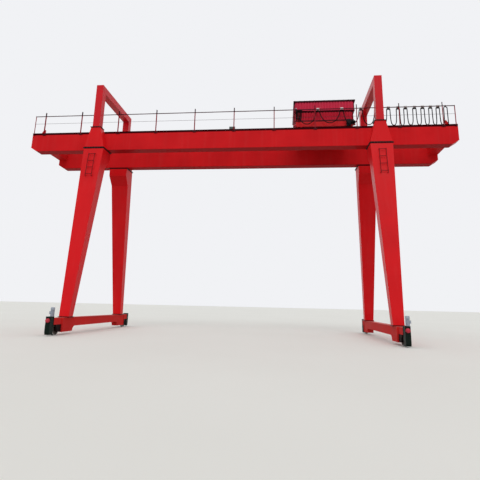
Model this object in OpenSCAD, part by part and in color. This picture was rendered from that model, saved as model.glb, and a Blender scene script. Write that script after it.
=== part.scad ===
// Rail-mounted double-girder gantry crane with two cantilevers and a housed trolley.
// X runs along the girders, Y along the ground rails, Z up.
// The origin is on the ground, under the middle of the crane.

/* [Main girders] */
// Distance between the left and right legs' centre planes
span = 18000; // [17000:100:19000]
// Length of a main girder, cantilevers included
girder_len = 27360; // [26600:20:28400]
// Distance between the two girders' centre planes
girder_gauge = 3500; // [3400:10:3600]
// Width of a girder over its flange plates
girder_w = 620; // [560:10:680]
// Depth of a girder over its flange plates
girder_h = 1290; // [1150:10:1400]
// Height of the girders' undersides above the ground
clear_h = 11500; // [10500:50:12500]
// Thickness of the girders' top and bottom flange plates
girder_plate = 20; // [12:1:30]
// Overhang of a flange plate past the girder's web
girder_lip = 35; // [20:1:50]
// Distance from a girder's end to the trolley's end stops
stop_inset = 500; // [400:10:700]
// Length of the sloped cut at each lower girder end
end_cut_len = 430; // [200:10:600]
// Height of the sloped cut at each lower girder end
end_cut_h = 270; // [150:10:400]
// Width and depth of the tie beam between the girder ends
tie_size = 620; // [400:10:700]

/* [Legs] */
// Width of a leg's foot, along the girders
foot_w = 570; // [500:10:700]
// Depth of a leg's foot, along the rails
foot_d = 470; // [420:10:700]
// Distance from the crane's centre plane to the outer face of a foot
foot_out = 3960; // [3800:10:4100]
// Width of a leg's top, along the girders
leg_top_w = 1320; // [1200:10:1400]
// Distance from the centre plane to the outer face of a leg's top
leg_top_out = 2585; // [2500:5:2700]
// Height of the straight box at a leg's top, on the inner side
leg_box_h = 560; // [400:10:700]
// Height of the haunch below that box
haunch_h = 650; // [400:10:900]
// Depth of a leg just below its haunch, along the rails
leg_neck_d = 740; // [680:10:900]
// Thickness of the flange plates at a leg's top and foot
leg_plate = 40; // [20:1:50]
// Overhang of those flange plates past the leg's faces
leg_lip = 45; // [30:1:80]
// Thickness of the gussets at the flange plates
gusset_t = 18; // [10:1:25]

/* [Leg heads and saddles] */
// Height of a leg head box above the girder's underside
head_h = 1400; // [1320:10:1500]
// Width of a leg head at its top
head_top_w = 620; // [560:10:800]
// Width of a saddle post, along the girders
post_w = 460; // [360:10:520]
// Depth of a saddle post, along the rails
post_d = 460; // [380:10:464]
// Height of a saddle portal over its leg heads
saddle_h = 2990; // [2800:10:3200]
// Depth of the saddle's cross beam
saddle_beam_h = 450; // [350:10:550]

/* [Sill beams and travel wheels] */
// Height of a sill beam's top above the ground
sill_top = 905; // [850:5:960]
// Width of a sill beam's box
sill_w = 400; // [340:10:440]
// Depth of a sill beam between its haunches
sill_mid_h = 480; // [400:10:560]
// Clearance under the deep ends of a sill beam
sill_clear = 150; // [100:10:200]
// Distance from the centre plane to the start of a sill beam's deep end
sill_deep_from = 3250; // [3000:10:3500]
// Distance from the centre plane to the vertical face of the wheel notch
notch_y = 4400; // [4350:10:4450]
// Distance from the centre plane to the end of a sill beam
sill_end_y = 5150; // [5120:10:5250]
// Height of the wheel notch above the ground
notch_z = 560; // [520:10:600]
// Width of the wheel housing over its cheeks
cheek_w = 300; // [280:10:320]
// Overhang of the sill beam's top plate past its box
sill_lip = 30; // [15:1:40]
// Distance from the centre plane to a travel wheel's axle
axle_y = 4780; // [4770:5:4800]
// Diameter of a travel wheel's tread
wheel_d = 600; // [560:10:640]
// Height of a travel wheel's flanges above its tread
wheel_flange_h = 25; // [20:1:30]
// Width of a travel wheel over its flanges
wheel_w = 140; // [130:2:150]
// Diameter of a travel wheel's axle
axle_d = 110; // [90:2:130]
// Diameter of a bearing box
bearing_d = 280; // [240:5:300]

/* [Wheel guards, buffers and travel drives] */
// Width of a wheel guard, along the girders
guard_w = 260; // [220:5:300]
// Depth of a wheel guard, along the rails
guard_d = 350; // [250:10:400]
// Height of a wheel guard's top above the ground
guard_top = 975; // [940:5:1010]
// Height of a wheel guard's underside above the ground
guard_clear = 60; // [40:5:100]
// Diameter of a buffer
buffer_d = 230; // [180:5:250]
// Length of a buffer
buffer_len = 120; // [80:5:160]
// Thickness of a travel gearbox
gearbox_t = 120; // [90:5:140]
// Diameter of a travel motor
travel_motor_d = 220; // [180:5:240]
// Height of a travel motor
travel_motor_h = 470; // [350:10:550]

/* [Railings, ladders and festoon] */
// Height of the railing's top rail above the girders
rail_h = 1235; // [1050:5:1300]
// Railing bays between the middle of the crane and the bay that holds a leg head
leg_bay = 3; // [2:1:4]
// Width of a railing angle's legs
angle_w = 55; // [40:1:60]
// Thickness of a railing angle's legs
angle_t = 6; // [4:0.5:8]
// Length of a railing post above the top rail
post_tip = 230; // [100:10:250]
// Width of the plate at a railing post's foot
foot_plate_w = 220; // [120:10:260]
// Height of the mid rail above the girders
mid_rail_h = 670; // [500:10:800]
// Diameter of the mid rail
mid_rail_d = 16; // [10:1:24]
// Width of a leg ladder over its stiles
ladder_w = 400; // [350:10:500]
// Distance between a ladder's rungs
rung_pitch = 470; // [400:10:500]
// Diameter of a ladder's rungs and stiles
rung_d = 30; // [20:1:40]
// Diameter of the festoon track
track_d = 24; // [16:1:30]
// Diameter of the festoon cable
cable_d = 56; // [40:1:60]
// Length of a festoon carrier along the track
carrier_len = 150; // [110:5:170]
// Radius of the saddle that the cable hangs over at a carrier
saddle_r = 100; // [80:5:105]
// Length of cable in one loop between two carriers
loop_len = 2560; // [2300:10:2600]
// Distance from the festoon track's end to the cable's fixed clamp
clamp_inset = 500; // [300:10:700]
// Length of the junction box on the front girder
box_len = 380; // [250:10:450]

/* [Trolley] */
// Distance between the trolley rails
trolley_gauge = 3000; // [2960:10:3040]
// Trolley's place along the girders, from the crane's middle
trolley_x = 5765; // [5400:5:5800]
// Height of a trolley rail
rail_size_h = 107; // [95:1:120]
// Width of a trolley rail's head
rail_head_w = 51; // [45:1:60]
// Diameter of a trolley wheel's tread
trolley_wheel_d = 350; // [300:10:380]
// Distance from the trolley frame's ends to its axles
trolley_axle_inset = 350; // [300:10:450]
// Diameter of a trolley motor
trolley_motor_d = 200; // [160:5:220]
// Length of the rope slot in the trolley's deck
rope_slot_len = 900; // [700:10:1000]
// Width of that slot
rope_slot_w = 500; // [300:10:600]
// Length of the trolley frame
frame_len = 3640; // [3400:10:3700]
// Height of the trolley frame
frame_h = 380; // [340:10:420]
// Width of a trolley frame's side beam
side_beam_w = 240; // [200:10:280]
// Distance from the girders' tops to the trolley frame's underside
frame_clear = 245; // [230:5:280]
// Length of the house's wall
house_len = 3690; // [3600:10:3840]
// Space between the festoon cables and the house's upper band
cable_clear = 174; // [130:2:220]
// Height of the house's lower wall
house_wall_h = 665; // [600:5:850]
// Height of the upper corrugated band
band_h = 655; // [500:5:750]
// Overhang of the upper band past the wall
band_lip = 70; // [50:5:90]
// Overhang of the roof past the band
roof_lip = 30; // [20:5:60]
// Rise of the roof from its eaves to its ridge
roof_rise = 160; // [100:10:200]
// Pitch of the corrugation in the house's sheets
rib_pitch = 180; // [150:5:250]
// Depth of the corrugation
rib_depth = 28; // [15:1:35]

/* [Hidden] */
$fn = 48;
fit_gap = 0.3;
rail_flange_gap = 7;
half_span = span / 2;
girder_top = clear_h + girder_h;
girder_y = girder_gauge / 2;
girder_out = girder_y + girder_w / 2;
girder_in = girder_y - girder_w / 2;
web_out = girder_out - girder_lip;
web_in = girder_in + girder_lip;
// Legs, from the sill beam's top plate to the girder's underside
leg_foot_z = sill_top + leg_plate;
leg_top_z = clear_h - leg_plate;
foot_in = foot_out - foot_d;
leg_top_in = girder_in + leg_lip;
haunch_z = leg_top_z - leg_box_h - haunch_h;
leg_slope = (foot_out - leg_top_out) / (leg_top_z - leg_foot_z);
neck_out = leg_top_out + leg_slope * (leg_top_z - haunch_z);
// Leg heads and saddle portals
head_d = leg_top_out - girder_out;
head_top = clear_h + head_h;
head_plate = 30;
saddle_base = head_top + head_plate;
// Travel wheels stand on their flanges
axle_z = wheel_d / 2 + wheel_flange_h;
sill_plate = 25;
bay_w = wheel_w + 20;
bay_z = axle_z + wheel_d / 2 + wheel_flange_h + 25;
bearing_w = (cheek_w - bay_w) / 2;
gearbox_x = cheek_w / 2;
motor_x = gearbox_x + gearbox_t / 2;
motor_base_z = guard_top;
// Trolley
rail_y = trolley_gauge / 2;
rail_top = girder_top + rail_size_h;
trolley_axle_z = rail_top + fit_gap + trolley_wheel_d / 2;
trolley_wheel_base = frame_len - 2 * trolley_axle_inset;
trolley_flange_t = 16;
trolley_wheel_w = rail_head_w + 2 * rail_flange_gap + 2 * trolley_flange_t;
frame_z = girder_top + frame_clear;
frame_top = frame_z + frame_h;
house_z = frame_top;
band_z = house_z + house_wall_h;
roof_z = band_z + band_h;
stop_x = girder_len / 2 - stop_inset;
trolley_buffer_len = 130;
trolley_buffer_z = frame_z + 130;
// Hoist ropes and hook block, in their highest place
rope_d = 20;
sheave_d = 260;
sheave_x = 170;
sheave_z = frame_z - 150;
// Railings and festoon, on the girders' outer edges
rail_pitch = span / (2 * leg_bay + 1);
post_y = girder_out;
rail_end_x = girder_len / 2 - 80;
track_y = girder_out - 110;
track_z = girder_top + rail_h + 10;
carrier_w = 60;
carrier_h = 110;
cable_y = track_y - carrier_w / 2 - cable_d / 2;
cable_top_z = track_z - carrier_h / 2;
tow_z = track_z + carrier_h / 2 + 30;
band_y = cable_y - cable_d / 2 - cable_clear;
house_w = 2 * (band_y - band_lip);
tow_x = trolley_x - house_len / 2 + 10;
arm_w = 80;
bundle_w = 440;
bundle_drop = 220;
// Hang points of the festoon cable, as shares of the way from the tow arm to the fixed clamp
hang_shares = [0, 0.150, 0.314, 0.442, 0.545, 0.626, 0.690, 0.739, 0.798, 0.851, 0.902, 0.950, 1];
cable_start_x = tow_x + arm_w / 2;
cable_end_x = rail_end_x - clamp_inset;
hang_x = [for (share = hang_shares) cable_start_x + (cable_end_x - cable_start_x) * share];
loop_steps = 6;

// Draws an outline given in Y and Z as a plate that is w wide along X
module along_x(w) rotate([90, 0, 90]) linear_extrude(w, center = true) children();
// Draws an outline given in X and Z as a plate that is w wide along Y
module along_y(w) rotate([90, 0, 0]) linear_extrude(w, center = true) children();
// A block between two corners
module block(low, high) translate(low) cube(high - low);
// Places a left or right piece; the right one is the pattern and the left its mirror image
module at_side(sx) translate([sx * half_span, 0, 0]) mirror([sx < 0 ? 1 : 0, 0, 0]) children();
// Turns a rear piece into its front one
module at_end(sy) mirror([0, sy < 0 ? 1 : 0, 0]) children();

// Box girder: web box with cut lower ends, and flange plates that follow it
module girder(sy) translate([0, sy * girder_y, clear_h]) {
    half = girder_len / 2;
    cut = half - end_cut_len;
    rise = end_cut_h + girder_plate;
    along_y(girder_w - 2 * girder_lip)
        polygon([[-cut, girder_plate], [cut, girder_plate], [half, rise], [half, girder_h - girder_plate],
            [-half, girder_h - girder_plate], [-half, rise]]);
    along_y(girder_w)
        polygon([[-cut, 0], [cut, 0], [half, end_cut_h], [half, rise], [cut, girder_plate],
            [-cut, girder_plate], [-half, rise], [-half, end_cut_h]]);
    block([-half, -girder_w / 2, girder_h - girder_plate], [half, girder_w / 2, girder_h]);
}

// Tie beams between the girders' inner webs, flush with the girders' ends
module end_ties() color("firebrick") for (sx = [-1, 1]) mirror([sx < 0 ? 1 : 0, 0, 0])
    block([girder_len / 2 - tie_size, -web_in, girder_top - girder_plate - tie_size],
        [girder_len / 2, web_in, girder_top - girder_plate]);

// Flat-bottomed rail, drawn across Y and Z with its base on the girder
module rail_outline() {
    base_w = rail_head_w * 1.8;
    head_h = rail_size_h * 0.25;
    base_h = rail_size_h * 0.12;
    web_w = rail_head_w * 0.24;
    translate([-base_w / 2, 0]) square([base_w, base_h]);
    translate([-web_w / 2, base_h]) square([web_w, rail_size_h - base_h - head_h]);
    translate([-rail_head_w / 2, rail_size_h - head_h]) square([rail_head_w, head_h]);
}

module trolley_rails() color("dimgray") for (sy = [-1, 1])
    translate([0, sy * rail_y, girder_top]) along_x(2 * stop_x) rail_outline();

// End stop: an upright plate with a gusset behind it, level with the trolley's buffers
module rail_stops() color("firebrick") for (sx = [-1, 1], sy = [-1, 1])
    translate([0, sy * rail_y, 0]) mirror([sx < 0 ? 1 : 0, 0, 0]) {
        stop_h = trolley_buffer_z + 120 - girder_top;
        plate_t = 30;
        gusset = 300;
        translate([stop_x, -100, girder_top]) cube([plate_t, 200, stop_h]);
        translate([stop_x + plate_t, 0, girder_top]) along_y(24)
            polygon([[0, 0], [gusset, 0], [gusset, 60], [40, stop_h], [0, stop_h]]);
    }

// Rear right leg: its side outline crossed with its front outline, and a flange at each end
module leg(sx, sy) at_side(sx) at_end(sy) {
    intersection() {
        along_x(leg_top_w)
            polygon([[foot_out, leg_foot_z], [leg_top_out, leg_top_z], [leg_top_in, leg_top_z],
                [leg_top_in, leg_top_z - leg_box_h], [neck_out - leg_neck_d, haunch_z],
                [foot_in, leg_foot_z]]);
        translate([0, foot_out / 2, 0]) along_y(foot_out) polygon([[-foot_w / 2, leg_foot_z],
            [foot_w / 2, leg_foot_z], [leg_top_w / 2, leg_top_z], [-leg_top_w / 2, leg_top_z]]);
    }
    block([-leg_top_w / 2 - leg_lip, leg_top_in - leg_lip, leg_top_z],
        [leg_top_w / 2 + leg_lip, leg_top_out + leg_lip, clear_h]);
    block([-foot_w / 2 - leg_lip, foot_in - leg_lip, sill_top],
        [foot_w / 2 + leg_lip, foot_out + leg_lip, leg_foot_z]);
}

// Gusset: a right triangle, len_a along X and h up Z, with its right angle at the origin
module gusset(len_a, h) along_y(gusset_t) polygon([[0, 0], [len_a, 0], [0, h]]);

// Leg heads: boxes on the girders' outer faces, wide below and narrow at the saddle's base,
// with gussets on the leg's flange
module leg_heads(sx) at_side(sx) for (sy = [-1, 1]) at_end(sy) {
    rib_h = 3.5 * leg_lip;
    for (x = [-0.42, 0, 0.42]) translate([x * leg_top_w, leg_top_out, clear_h]) rotate(90)
        gusset(leg_lip, rib_h);
    difference() {
        translate([0, (web_out + leg_top_out) / 2, 0]) along_y(leg_top_out - web_out)
            polygon([[-leg_top_w / 2, clear_h], [leg_top_w / 2, clear_h], [head_top_w / 2, head_top],
                [-head_top_w / 2, head_top]]);
        for (z = [clear_h - girder_plate, girder_top - girder_plate])
            block([-leg_top_w, web_out - 1, z], [leg_top_w, girder_out, z + 2 * girder_plate]);
        block([-leg_top_w, web_out - 1, girder_top], [leg_top_w, girder_out, head_top + 1]);
    }
    block([-head_top_w / 2 - leg_lip, girder_out, head_top],
        [head_top_w / 2 + leg_lip, leg_top_out + leg_lip, saddle_base]);
}

// Saddle portal: two posts on the leg heads and a cross beam above the trolley's way
module saddle(sx) at_side(sx) difference() {
    block([-post_w / 2, -leg_top_out, saddle_base], [post_w / 2, leg_top_out, saddle_base + saddle_h]);
    block([-post_w, post_d - leg_top_out, saddle_base - 1],
        [post_w, leg_top_out - post_d, saddle_base + saddle_h - saddle_beam_h]);
}

// Side outline of one half of a sill beam, with its arched haunch and wheel notch
module sill_outline() {
    mid_z = sill_top - sill_mid_h;
    arch_r = mid_z - sill_clear;
    arch_y = sill_deep_from - arch_r;
    difference() {
        polygon([[0, mid_z], [arch_y, mid_z], [sill_deep_from, sill_clear], [notch_y, sill_clear],
            [notch_y, sill_top - sill_plate], [0, sill_top - sill_plate]]);
        translate([arch_y, sill_clear]) circle(arch_r);
    }
    translate([arch_y, sill_clear]) difference() {
        square(arch_r);
        circle(arch_r);
    }
}

// Sill beam: box with deep ends, wheel housings between cheeks, end plates and a top plate
module sill(sx) at_side(sx) {
    for (sy = [-1, 1]) at_end(sy) {
        block([-sill_w / 2 - sill_lip, notch_y - sill_plate, sill_clear],
            [sill_w / 2 + sill_lip, notch_y, sill_top - sill_plate]);
        along_x(sill_w) sill_outline();
        difference() {
            block([-cheek_w / 2, notch_y, notch_z], [cheek_w / 2, sill_end_y, sill_top - sill_plate]);
            block([-bay_w / 2, notch_y, notch_z - 1], [bay_w / 2, sill_end_y - 20, bay_z]);
        }
        block([-cheek_w / 2, notch_y, sill_top - sill_plate], [cheek_w / 2, sill_end_y, sill_top]);
    }
    block([-sill_w / 2 - sill_lip, -notch_y, sill_top - sill_plate],
        [sill_w / 2 + sill_lip, notch_y, sill_top]);
}

// Bearing boxes: angular housings in the wheel notches, one on each side of a wheel
module bearing_boxes() color("firebrick") for (sx = [-1, 1], sy = [-1, 1], side = [-1, 1])
    at_side(sx) at_end(sy) translate([side * (bay_w + bearing_w) / 2, 0, 0]) difference() {
        along_x(bearing_w) {
            low_z = axle_z - bearing_d / 2;
            translate([axle_y, axle_z]) circle(bearing_d / 2);
            translate([notch_y, low_z]) square([axle_y - notch_y, notch_z - low_z]);
            translate([axle_y - 1, axle_z]) square([bearing_d / 2 + 1, notch_z - axle_z]);
        }
        translate([0, axle_y, axle_z]) rotate([0, 90, 0])
            cylinder(h = bearing_w + 2, d = axle_d + 2 * fit_gap, center = true);
    }

// Travel wheel: turned profile with two flanges, dished web and hub, on its own axle
module wheel(sx, sy) color("dimgray") at_side(sx) at_end(sy)
    translate([0, axle_y, axle_z]) rotate([0, 90, 0]) rotate_extrude() {
        tread_r = wheel_d / 2;
        flange_t = 22;
        rim_r = tread_r - 55;
        hub_r = axle_d * 0.85;
        web_t = 40;
        half_w = wheel_w / 2;
        axle_half = cheek_w / 2 - 5;
        flange_r = tread_r + wheel_flange_h;
        edge_w = half_w - flange_t / 2;
        translate([0, -axle_half]) square([axle_d / 2, 2 * axle_half]);
        translate([0, -half_w]) square([hub_r, wheel_w]);
        translate([0, -web_t / 2]) square([rim_r + 1, web_t]);
        polygon([[rim_r, -half_w], [flange_r, -half_w], [flange_r, -edge_w], [tread_r, flange_t - half_w],
            [tread_r, half_w - flange_t], [flange_r, edge_w], [flange_r, half_w], [rim_r, half_w]]);
    }

// Wheel guards: dark green boxes on the sill beams' ends, with their lower front edge cut back
module guards(sx) color("darkslategray") at_side(sx) for (sy = [-1, 1]) at_end(sy) {
    cut = guard_d / 3;
    along_x(guard_w) translate([sill_end_y, 0]) polygon([[0, guard_clear], [guard_d - cut / 2, guard_clear],
        [guard_d, guard_clear + cut], [guard_d, guard_top], [0, guard_top]]);
}

// Buffers: round rubber blocks on base plates, on the guards' front faces
module guard_buffers() color("crimson") for (sx = [-1, 1], sy = [-1, 1]) at_side(sx) at_end(sy)
    translate([0, sill_end_y + guard_d, guard_top - 80 - buffer_d / 2]) rotate([-90, 0, 0]) {
        cylinder(h = buffer_len * 0.2, d = buffer_d);
        cylinder(h = buffer_len, d = buffer_d * 0.9);
    }

// Travel gearboxes: upright housings on the outer bearing boxes, with a neck for the motor
module travel_gearboxes() color("slategray") for (sx = [-1, 1], sy = [-1, 1])
    at_side(sx) at_end(sy) translate([gearbox_x + gearbox_t / 2, 0, 0]) {
        neck_w = travel_motor_d * 0.8;
        along_x(gearbox_t) {
            translate([axle_y, axle_z]) circle(bearing_d / 2);
            translate([axle_y - neck_w / 2, axle_z]) square([neck_w, motor_base_z - 30 - axle_z]);
        }
        translate([0, axle_y, motor_base_z - 30]) cylinder(h = 30, d = travel_motor_d);
    }

// Motor: finned body on a round flange, a terminal box at its side, and a fan cowl at its end
module motor(d, h) {
    flange_h = d * 0.08;
    cowl_h = h * 0.28;
    body_h = h - cowl_h;
    fins = 20;
    cylinder(h = flange_h, d = d);
    linear_extrude(body_h) {
        circle(d * 0.4);
        for (i = [0 : fins - 1]) rotate((i + 0.5) * 360 / fins) translate([0, -d * 0.015])
            square([d * 0.46, d * 0.03]);
    }
    block([0, -d * 0.25, body_h * 0.35], [d * 0.64, d * 0.25, body_h * 0.75]);
    translate([0, 0, body_h]) rotate_extrude()
        polygon([[0, 0], [d / 2, 0], [d / 2, cowl_h * 0.8], [d * 0.4, cowl_h], [0, cowl_h]]);
}

module travel_motors() color("lightsteelblue") for (sx = [-1, 1], sy = [-1, 1])
    at_side(sx) at_end(sy) translate([motor_x, axle_y, motor_base_z])
        motor(travel_motor_d, travel_motor_h);

// Angle profile with its corner at the origin and its legs along +X and +Y
module angle_outline() {
    square([angle_w, angle_t]);
    square([angle_t, angle_w]);
}

function post_count() = floor(rail_end_x / rail_pitch);
function post_xs() = [for (i = [-post_count() : post_count()]) i * rail_pitch];

// Railing along the outer edge of a girder: angle posts with raised tips, an angle top rail,
// and a thin mid rail
module railing(sy) color("firebrick") at_end(sy) {
    foot_z = girder_top - 160;
    post_h = girder_top + rail_h + post_tip - foot_z;
    for (x = post_xs()) {
        translate([x - angle_w / 2, post_y, foot_z]) linear_extrude(post_h) angle_outline();
        block([x - foot_plate_w / 2, web_out, foot_z], [x + foot_plate_w / 2, post_y, foot_z + 110]);
    }
    for (sx = [-1, 1]) mirror([sx < 0 ? 1 : 0, 0, 0]) {
        translate([rail_end_x - angle_w, post_y, foot_z]) linear_extrude(post_h - post_tip) angle_outline();
        block([rail_end_x - angle_w, web_out, foot_z], [rail_end_x, post_y, foot_z + 60]);
    }
    translate([-rail_end_x, post_y - angle_t, girder_top + rail_h - angle_w])
        cube([2 * rail_end_x, angle_t, angle_w]);
    translate([-rail_end_x, post_y - angle_w, girder_top + rail_h - angle_t])
        cube([2 * rail_end_x, angle_w, angle_t]);
    translate([-rail_end_x, post_y, girder_top + mid_rail_h]) rotate([0, 90, 0])
        cylinder(h = 2 * rail_end_x, d = mid_rail_d);
}

// Short ladder on a front leg's outer face, under the leg's flange
module ladder(sx) color("firebrick") at_side(sx) mirror([0, 1, 0])
    translate([0, leg_top_out, leg_top_z]) rotate([atan(leg_slope), 0, 0]) {
        stand_off = 110;
        top_z = -420;
        bottom_z = top_z - 3.4 * rung_pitch;
        for (side = [-1, 1]) translate([side * ladder_w / 2, 0, 0]) {
            translate([0, stand_off, bottom_z]) cylinder(h = top_z - bottom_z, d = rung_d);
            for (z = [top_z - rung_d, bottom_z + rung_d])
                translate([0, 0, z]) rotate([-90, 0, 0]) cylinder(h = stand_off, d = rung_d);
        }
        for (i = [0 : 3])
            translate([-ladder_w / 2, stand_off, top_z - rung_d * 2 - i * rung_pitch]) rotate([0, 90, 0])
                cylinder(h = ladder_w, d = rung_d);
    }

// Festoon track: a round bar inside the front railing, held by a bracket at each post
module festoon_track() color("dimgray") {
    translate([-rail_end_x, -track_y, track_z]) rotate([0, 90, 0])
        cylinder(h = 2 * rail_end_x, d = track_d);
    for (x = post_xs())
        block([x - 5, -post_y, track_z - 5], [x + 5, -track_y - track_d / 4, track_z + 5]);
    block([cable_end_x - 50, -track_y - carrier_w / 2, track_z - carrier_h / 2],
        [cable_end_x, -track_y + carrier_w / 2, track_z + carrier_h / 2]);
}

// Festoon carriers: blocks that ride on the bar, open towards the brackets
module festoon_carriers() color("whitesmoke") for (x = [for (i = [1 : len(hang_x) - 2]) hang_x[i]])
    translate([x, -track_y, track_z]) difference() {
        cube([carrier_len, carrier_w, carrier_h], center = true);
        rotate([0, 90, 0]) cylinder(h = carrier_len + 2, d = track_d + 2 * fit_gap, center = true);
        translate([0, -carrier_w / 2, 0]) cube([carrier_len + 2, carrier_w, 20], center = true);
    }

// Depth of a loop between two hang points, from the cable's length in the loop
function loop_depth(s) = 0.93 * sqrt(pow((loop_len - 3.14 * saddle_r) / 2, 2) - pow(s / 2, 2));
function loop_points(x0, x1) = [for (i = [0 : loop_steps]) let (t = i / loop_steps)
    [x0 + (x1 - x0) * t, cable_top_z - loop_depth(x1 - x0) * 4 * t * (1 - t)]];
function cable_path() = concat([[hang_x[0], tow_z], [hang_x[0], cable_top_z + 60]],
    [for (k = [0 : len(hang_x) - 2]) each [for (p = loop_points(hang_x[k] + (k > 0 ? saddle_r : 30),
        hang_x[k + 1] - saddle_r)) p]], [[cable_end_x + saddle_r / 2, cable_top_z],
    [cable_end_x + saddle_r, cable_top_z - saddle_r], [cable_end_x + saddle_r, girder_top]]);

// Directions and rings of a sweep along a path that lies in the X and Z plane
function heading(p, i) = let (n = len(p), a = p[max(i - 1, 0)], b = p[i], c = p[min(i + 1, n - 1)],
    u = i == 0 ? c - b : (b - a) / norm(b - a), v = i == n - 1 ? u : (c - b) / norm(c - b), m = u + v)
    i == 0 ? v : m / norm(m);
function cable_ring(p, i, sides) = let (d = heading(p, i)) [for (j = [0 : sides - 1])
    let (a = 360 * j / sides, q = cable_d / 2 * cos(a), w = cable_d / 2 * sin(a))
    [p[i][0] - d[1] * q, w, p[i][1] + d[0] * q]];

// Festoon cable: one tube that hangs in loops between the carriers
module festoon_cable() color("black") {
    sides = 8;
    path = cable_path();
    n = len(path);
    translate([0, -cable_y, 0]) polyhedron(
        points = [for (i = [0 : n - 1]) each cable_ring(path, i, sides)],
        faces = concat([[for (j = [0 : sides - 1]) j]],
            [for (i = [0 : n - 2], j = [0 : sides - 1]) let (k = (j + 1) % sides)
                [i * sides + j, (i + 1) * sides + j, (i + 1) * sides + k, i * sides + k]],
            [[for (j = [0 : sides - 1]) (n - 1) * sides + sides - 1 - j]]));
}

// Small junction box on top of the front girder
module junction_box() color("dimgray") translate([-130, -girder_out + 160, girder_top])
    translate([-box_len / 2, -box_len / 6, 0]) cube([box_len, box_len / 3, box_len / 3]);

// Trolley frame: side beams with wheel slots, cross beams, and a deck with a rope slot
module trolley_frame() color("red") translate([trolley_x, 0, frame_z]) {
    deck_t = 40;
    cross_w = 300;
    end_rise = 100;
    slot = [rope_slot_len, rope_slot_w];
    beam_in = rail_y - side_beam_w / 2;
    bay = [trolley_wheel_d + 80, trolley_wheel_w + 20, trolley_axle_z - frame_z + trolley_wheel_d / 2 + 40];
    for (sy = [-1, 1]) at_end(sy) difference() {
        translate([0, beam_in + side_beam_w / 2, 0]) along_y(side_beam_w)
            polygon([[-frame_len / 2, end_rise], [-frame_len / 2 + end_rise, 0],
                [frame_len / 2 - end_rise, 0], [frame_len / 2, end_rise],
                [frame_len / 2, frame_h], [-frame_len / 2, frame_h]]);
        for (sx = [-1, 1]) translate([sx * trolley_wheel_base / 2 - bay[0] / 2, rail_y - bay[1] / 2, -1])
            cube(bay + [0, 0, 1]);
    }
    for (x = [-frame_len / 2, -slot[0] - cross_w / 2, slot[0] - cross_w / 2, frame_len / 2 - cross_w])
        block([x, -beam_in, 40], [x + cross_w, beam_in, frame_h - deck_t]);
    difference() {
        block([-frame_len / 2, -beam_in, frame_h - deck_t], [frame_len / 2, beam_in, frame_h]);
        block([-slot[0] / 2, -slot[1] / 2, 0], [slot[0] / 2, slot[1] / 2, frame_h + 1]);
    }
}

// Trolley wheels: double-flanged, with axles that reach the side beams' cheeks
module trolley_wheels() color("dimgray") for (sx = [-1, 1], sy = [-1, 1])
    translate([trolley_x + sx * trolley_wheel_base / 2, sy * rail_y, trolley_axle_z]) rotate([90, 0, 0])
        rotate_extrude() {
            r = trolley_wheel_d / 2;
            half_w = trolley_wheel_w / 2;
            inner_w = half_w - trolley_flange_t;
            flange_r = r + 18;
            translate([0, -half_w - 10]) square([40, 2 * half_w + 20]);
            polygon([[0, -half_w], [flange_r, -half_w], [flange_r, -inner_w], [r, -inner_w], [r, inner_w],
                [flange_r, inner_w], [flange_r, half_w], [0, half_w]]);
        }

// Trolley drives: a gearbox on each side beam's outer face, with its motor along the beam
module trolley_drives() color("dimgray") for (sy = [-1, 1]) at_end(sy)
    translate([trolley_x + trolley_wheel_base / 2, rail_y + side_beam_w / 2, trolley_axle_z]) {
        box_t = trolley_motor_d * 0.95;
        back = trolley_motor_d * 0.55;
        front = trolley_motor_d * 0.7;
        block([-back, 0, -back], [front, box_t, frame_top - trolley_axle_z - 10]);
        translate([front, trolley_motor_d * 0.56, trolley_motor_d * 0.8]) rotate([0, 90, 0])
            rotate([0, 0, 180]) motor(trolley_motor_d, trolley_motor_d * 1.5);
    }

// Trolley buffers, on the side beams' ends
module trolley_buffers() color("firebrick") for (sx = [-1, 1], sy = [-1, 1])
    translate([trolley_x + sx * frame_len / 2, sy * rail_y, trolley_buffer_z]) rotate([0, sx * 90, 0]) {
        cylinder(h = 20, d = 160);
        cylinder(h = trolley_buffer_len, d = 130);
    }

// Corrugated edge: trapezoid ribs along one straight side, as points from 0 to len_a
function rib_side(len_a) = let (count = floor((len_a - rib_pitch) / rib_pitch),
    start = (len_a - count * rib_pitch) / 2) [for (i = [0 : count - 1])
    each [[start + (i + 0.1) * rib_pitch, 0], [start + (i + 0.25) * rib_pitch, rib_depth],
        [start + (i + 0.75) * rib_pitch, rib_depth], [start + (i + 0.9) * rib_pitch, 0]]];

// Sheet outline seen from above: a rectangle whose four sides carry ribs
module ribbed_outline(size_x, size_y) {
    half = size_y / 2 - rib_depth;
    for (turn = [0, 180]) rotate(turn) translate([-size_x / 2, half])
        polygon(concat([[0, -half], [0, 0]], rib_side(size_x), [[size_x, 0], [size_x, -half]]));
    for (turn = [90, -90]) rotate(turn) translate([-size_y / 2, size_x / 2 - rib_depth])
        polygon(concat([[rib_depth, -rib_pitch], [rib_depth, 0]], rib_side(size_y),
            [[size_y - rib_depth, 0], [size_y - rib_depth, -rib_pitch]]));
}

module house_wall() color("crimson") translate([trolley_x, 0, house_z]) linear_extrude(house_wall_h)
    ribbed_outline(house_len, house_w);

module house_band() color("indianred") translate([trolley_x, 0, band_z]) linear_extrude(band_h)
    ribbed_outline(house_len + 2 * band_lip, house_w + 2 * band_lip);

// Low gable roof with a turned-down edge
module house_roof() color("maroon") translate([trolley_x, 0, roof_z]) {
    half = band_y + roof_lip;
    edge_h = 40;
    along_x(house_len + 2 * (band_lip + roof_lip))
        polygon([[-half, 0], [half, 0], [half, edge_h], [0, edge_h + roof_rise], [-half, edge_h]]);
}

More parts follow.
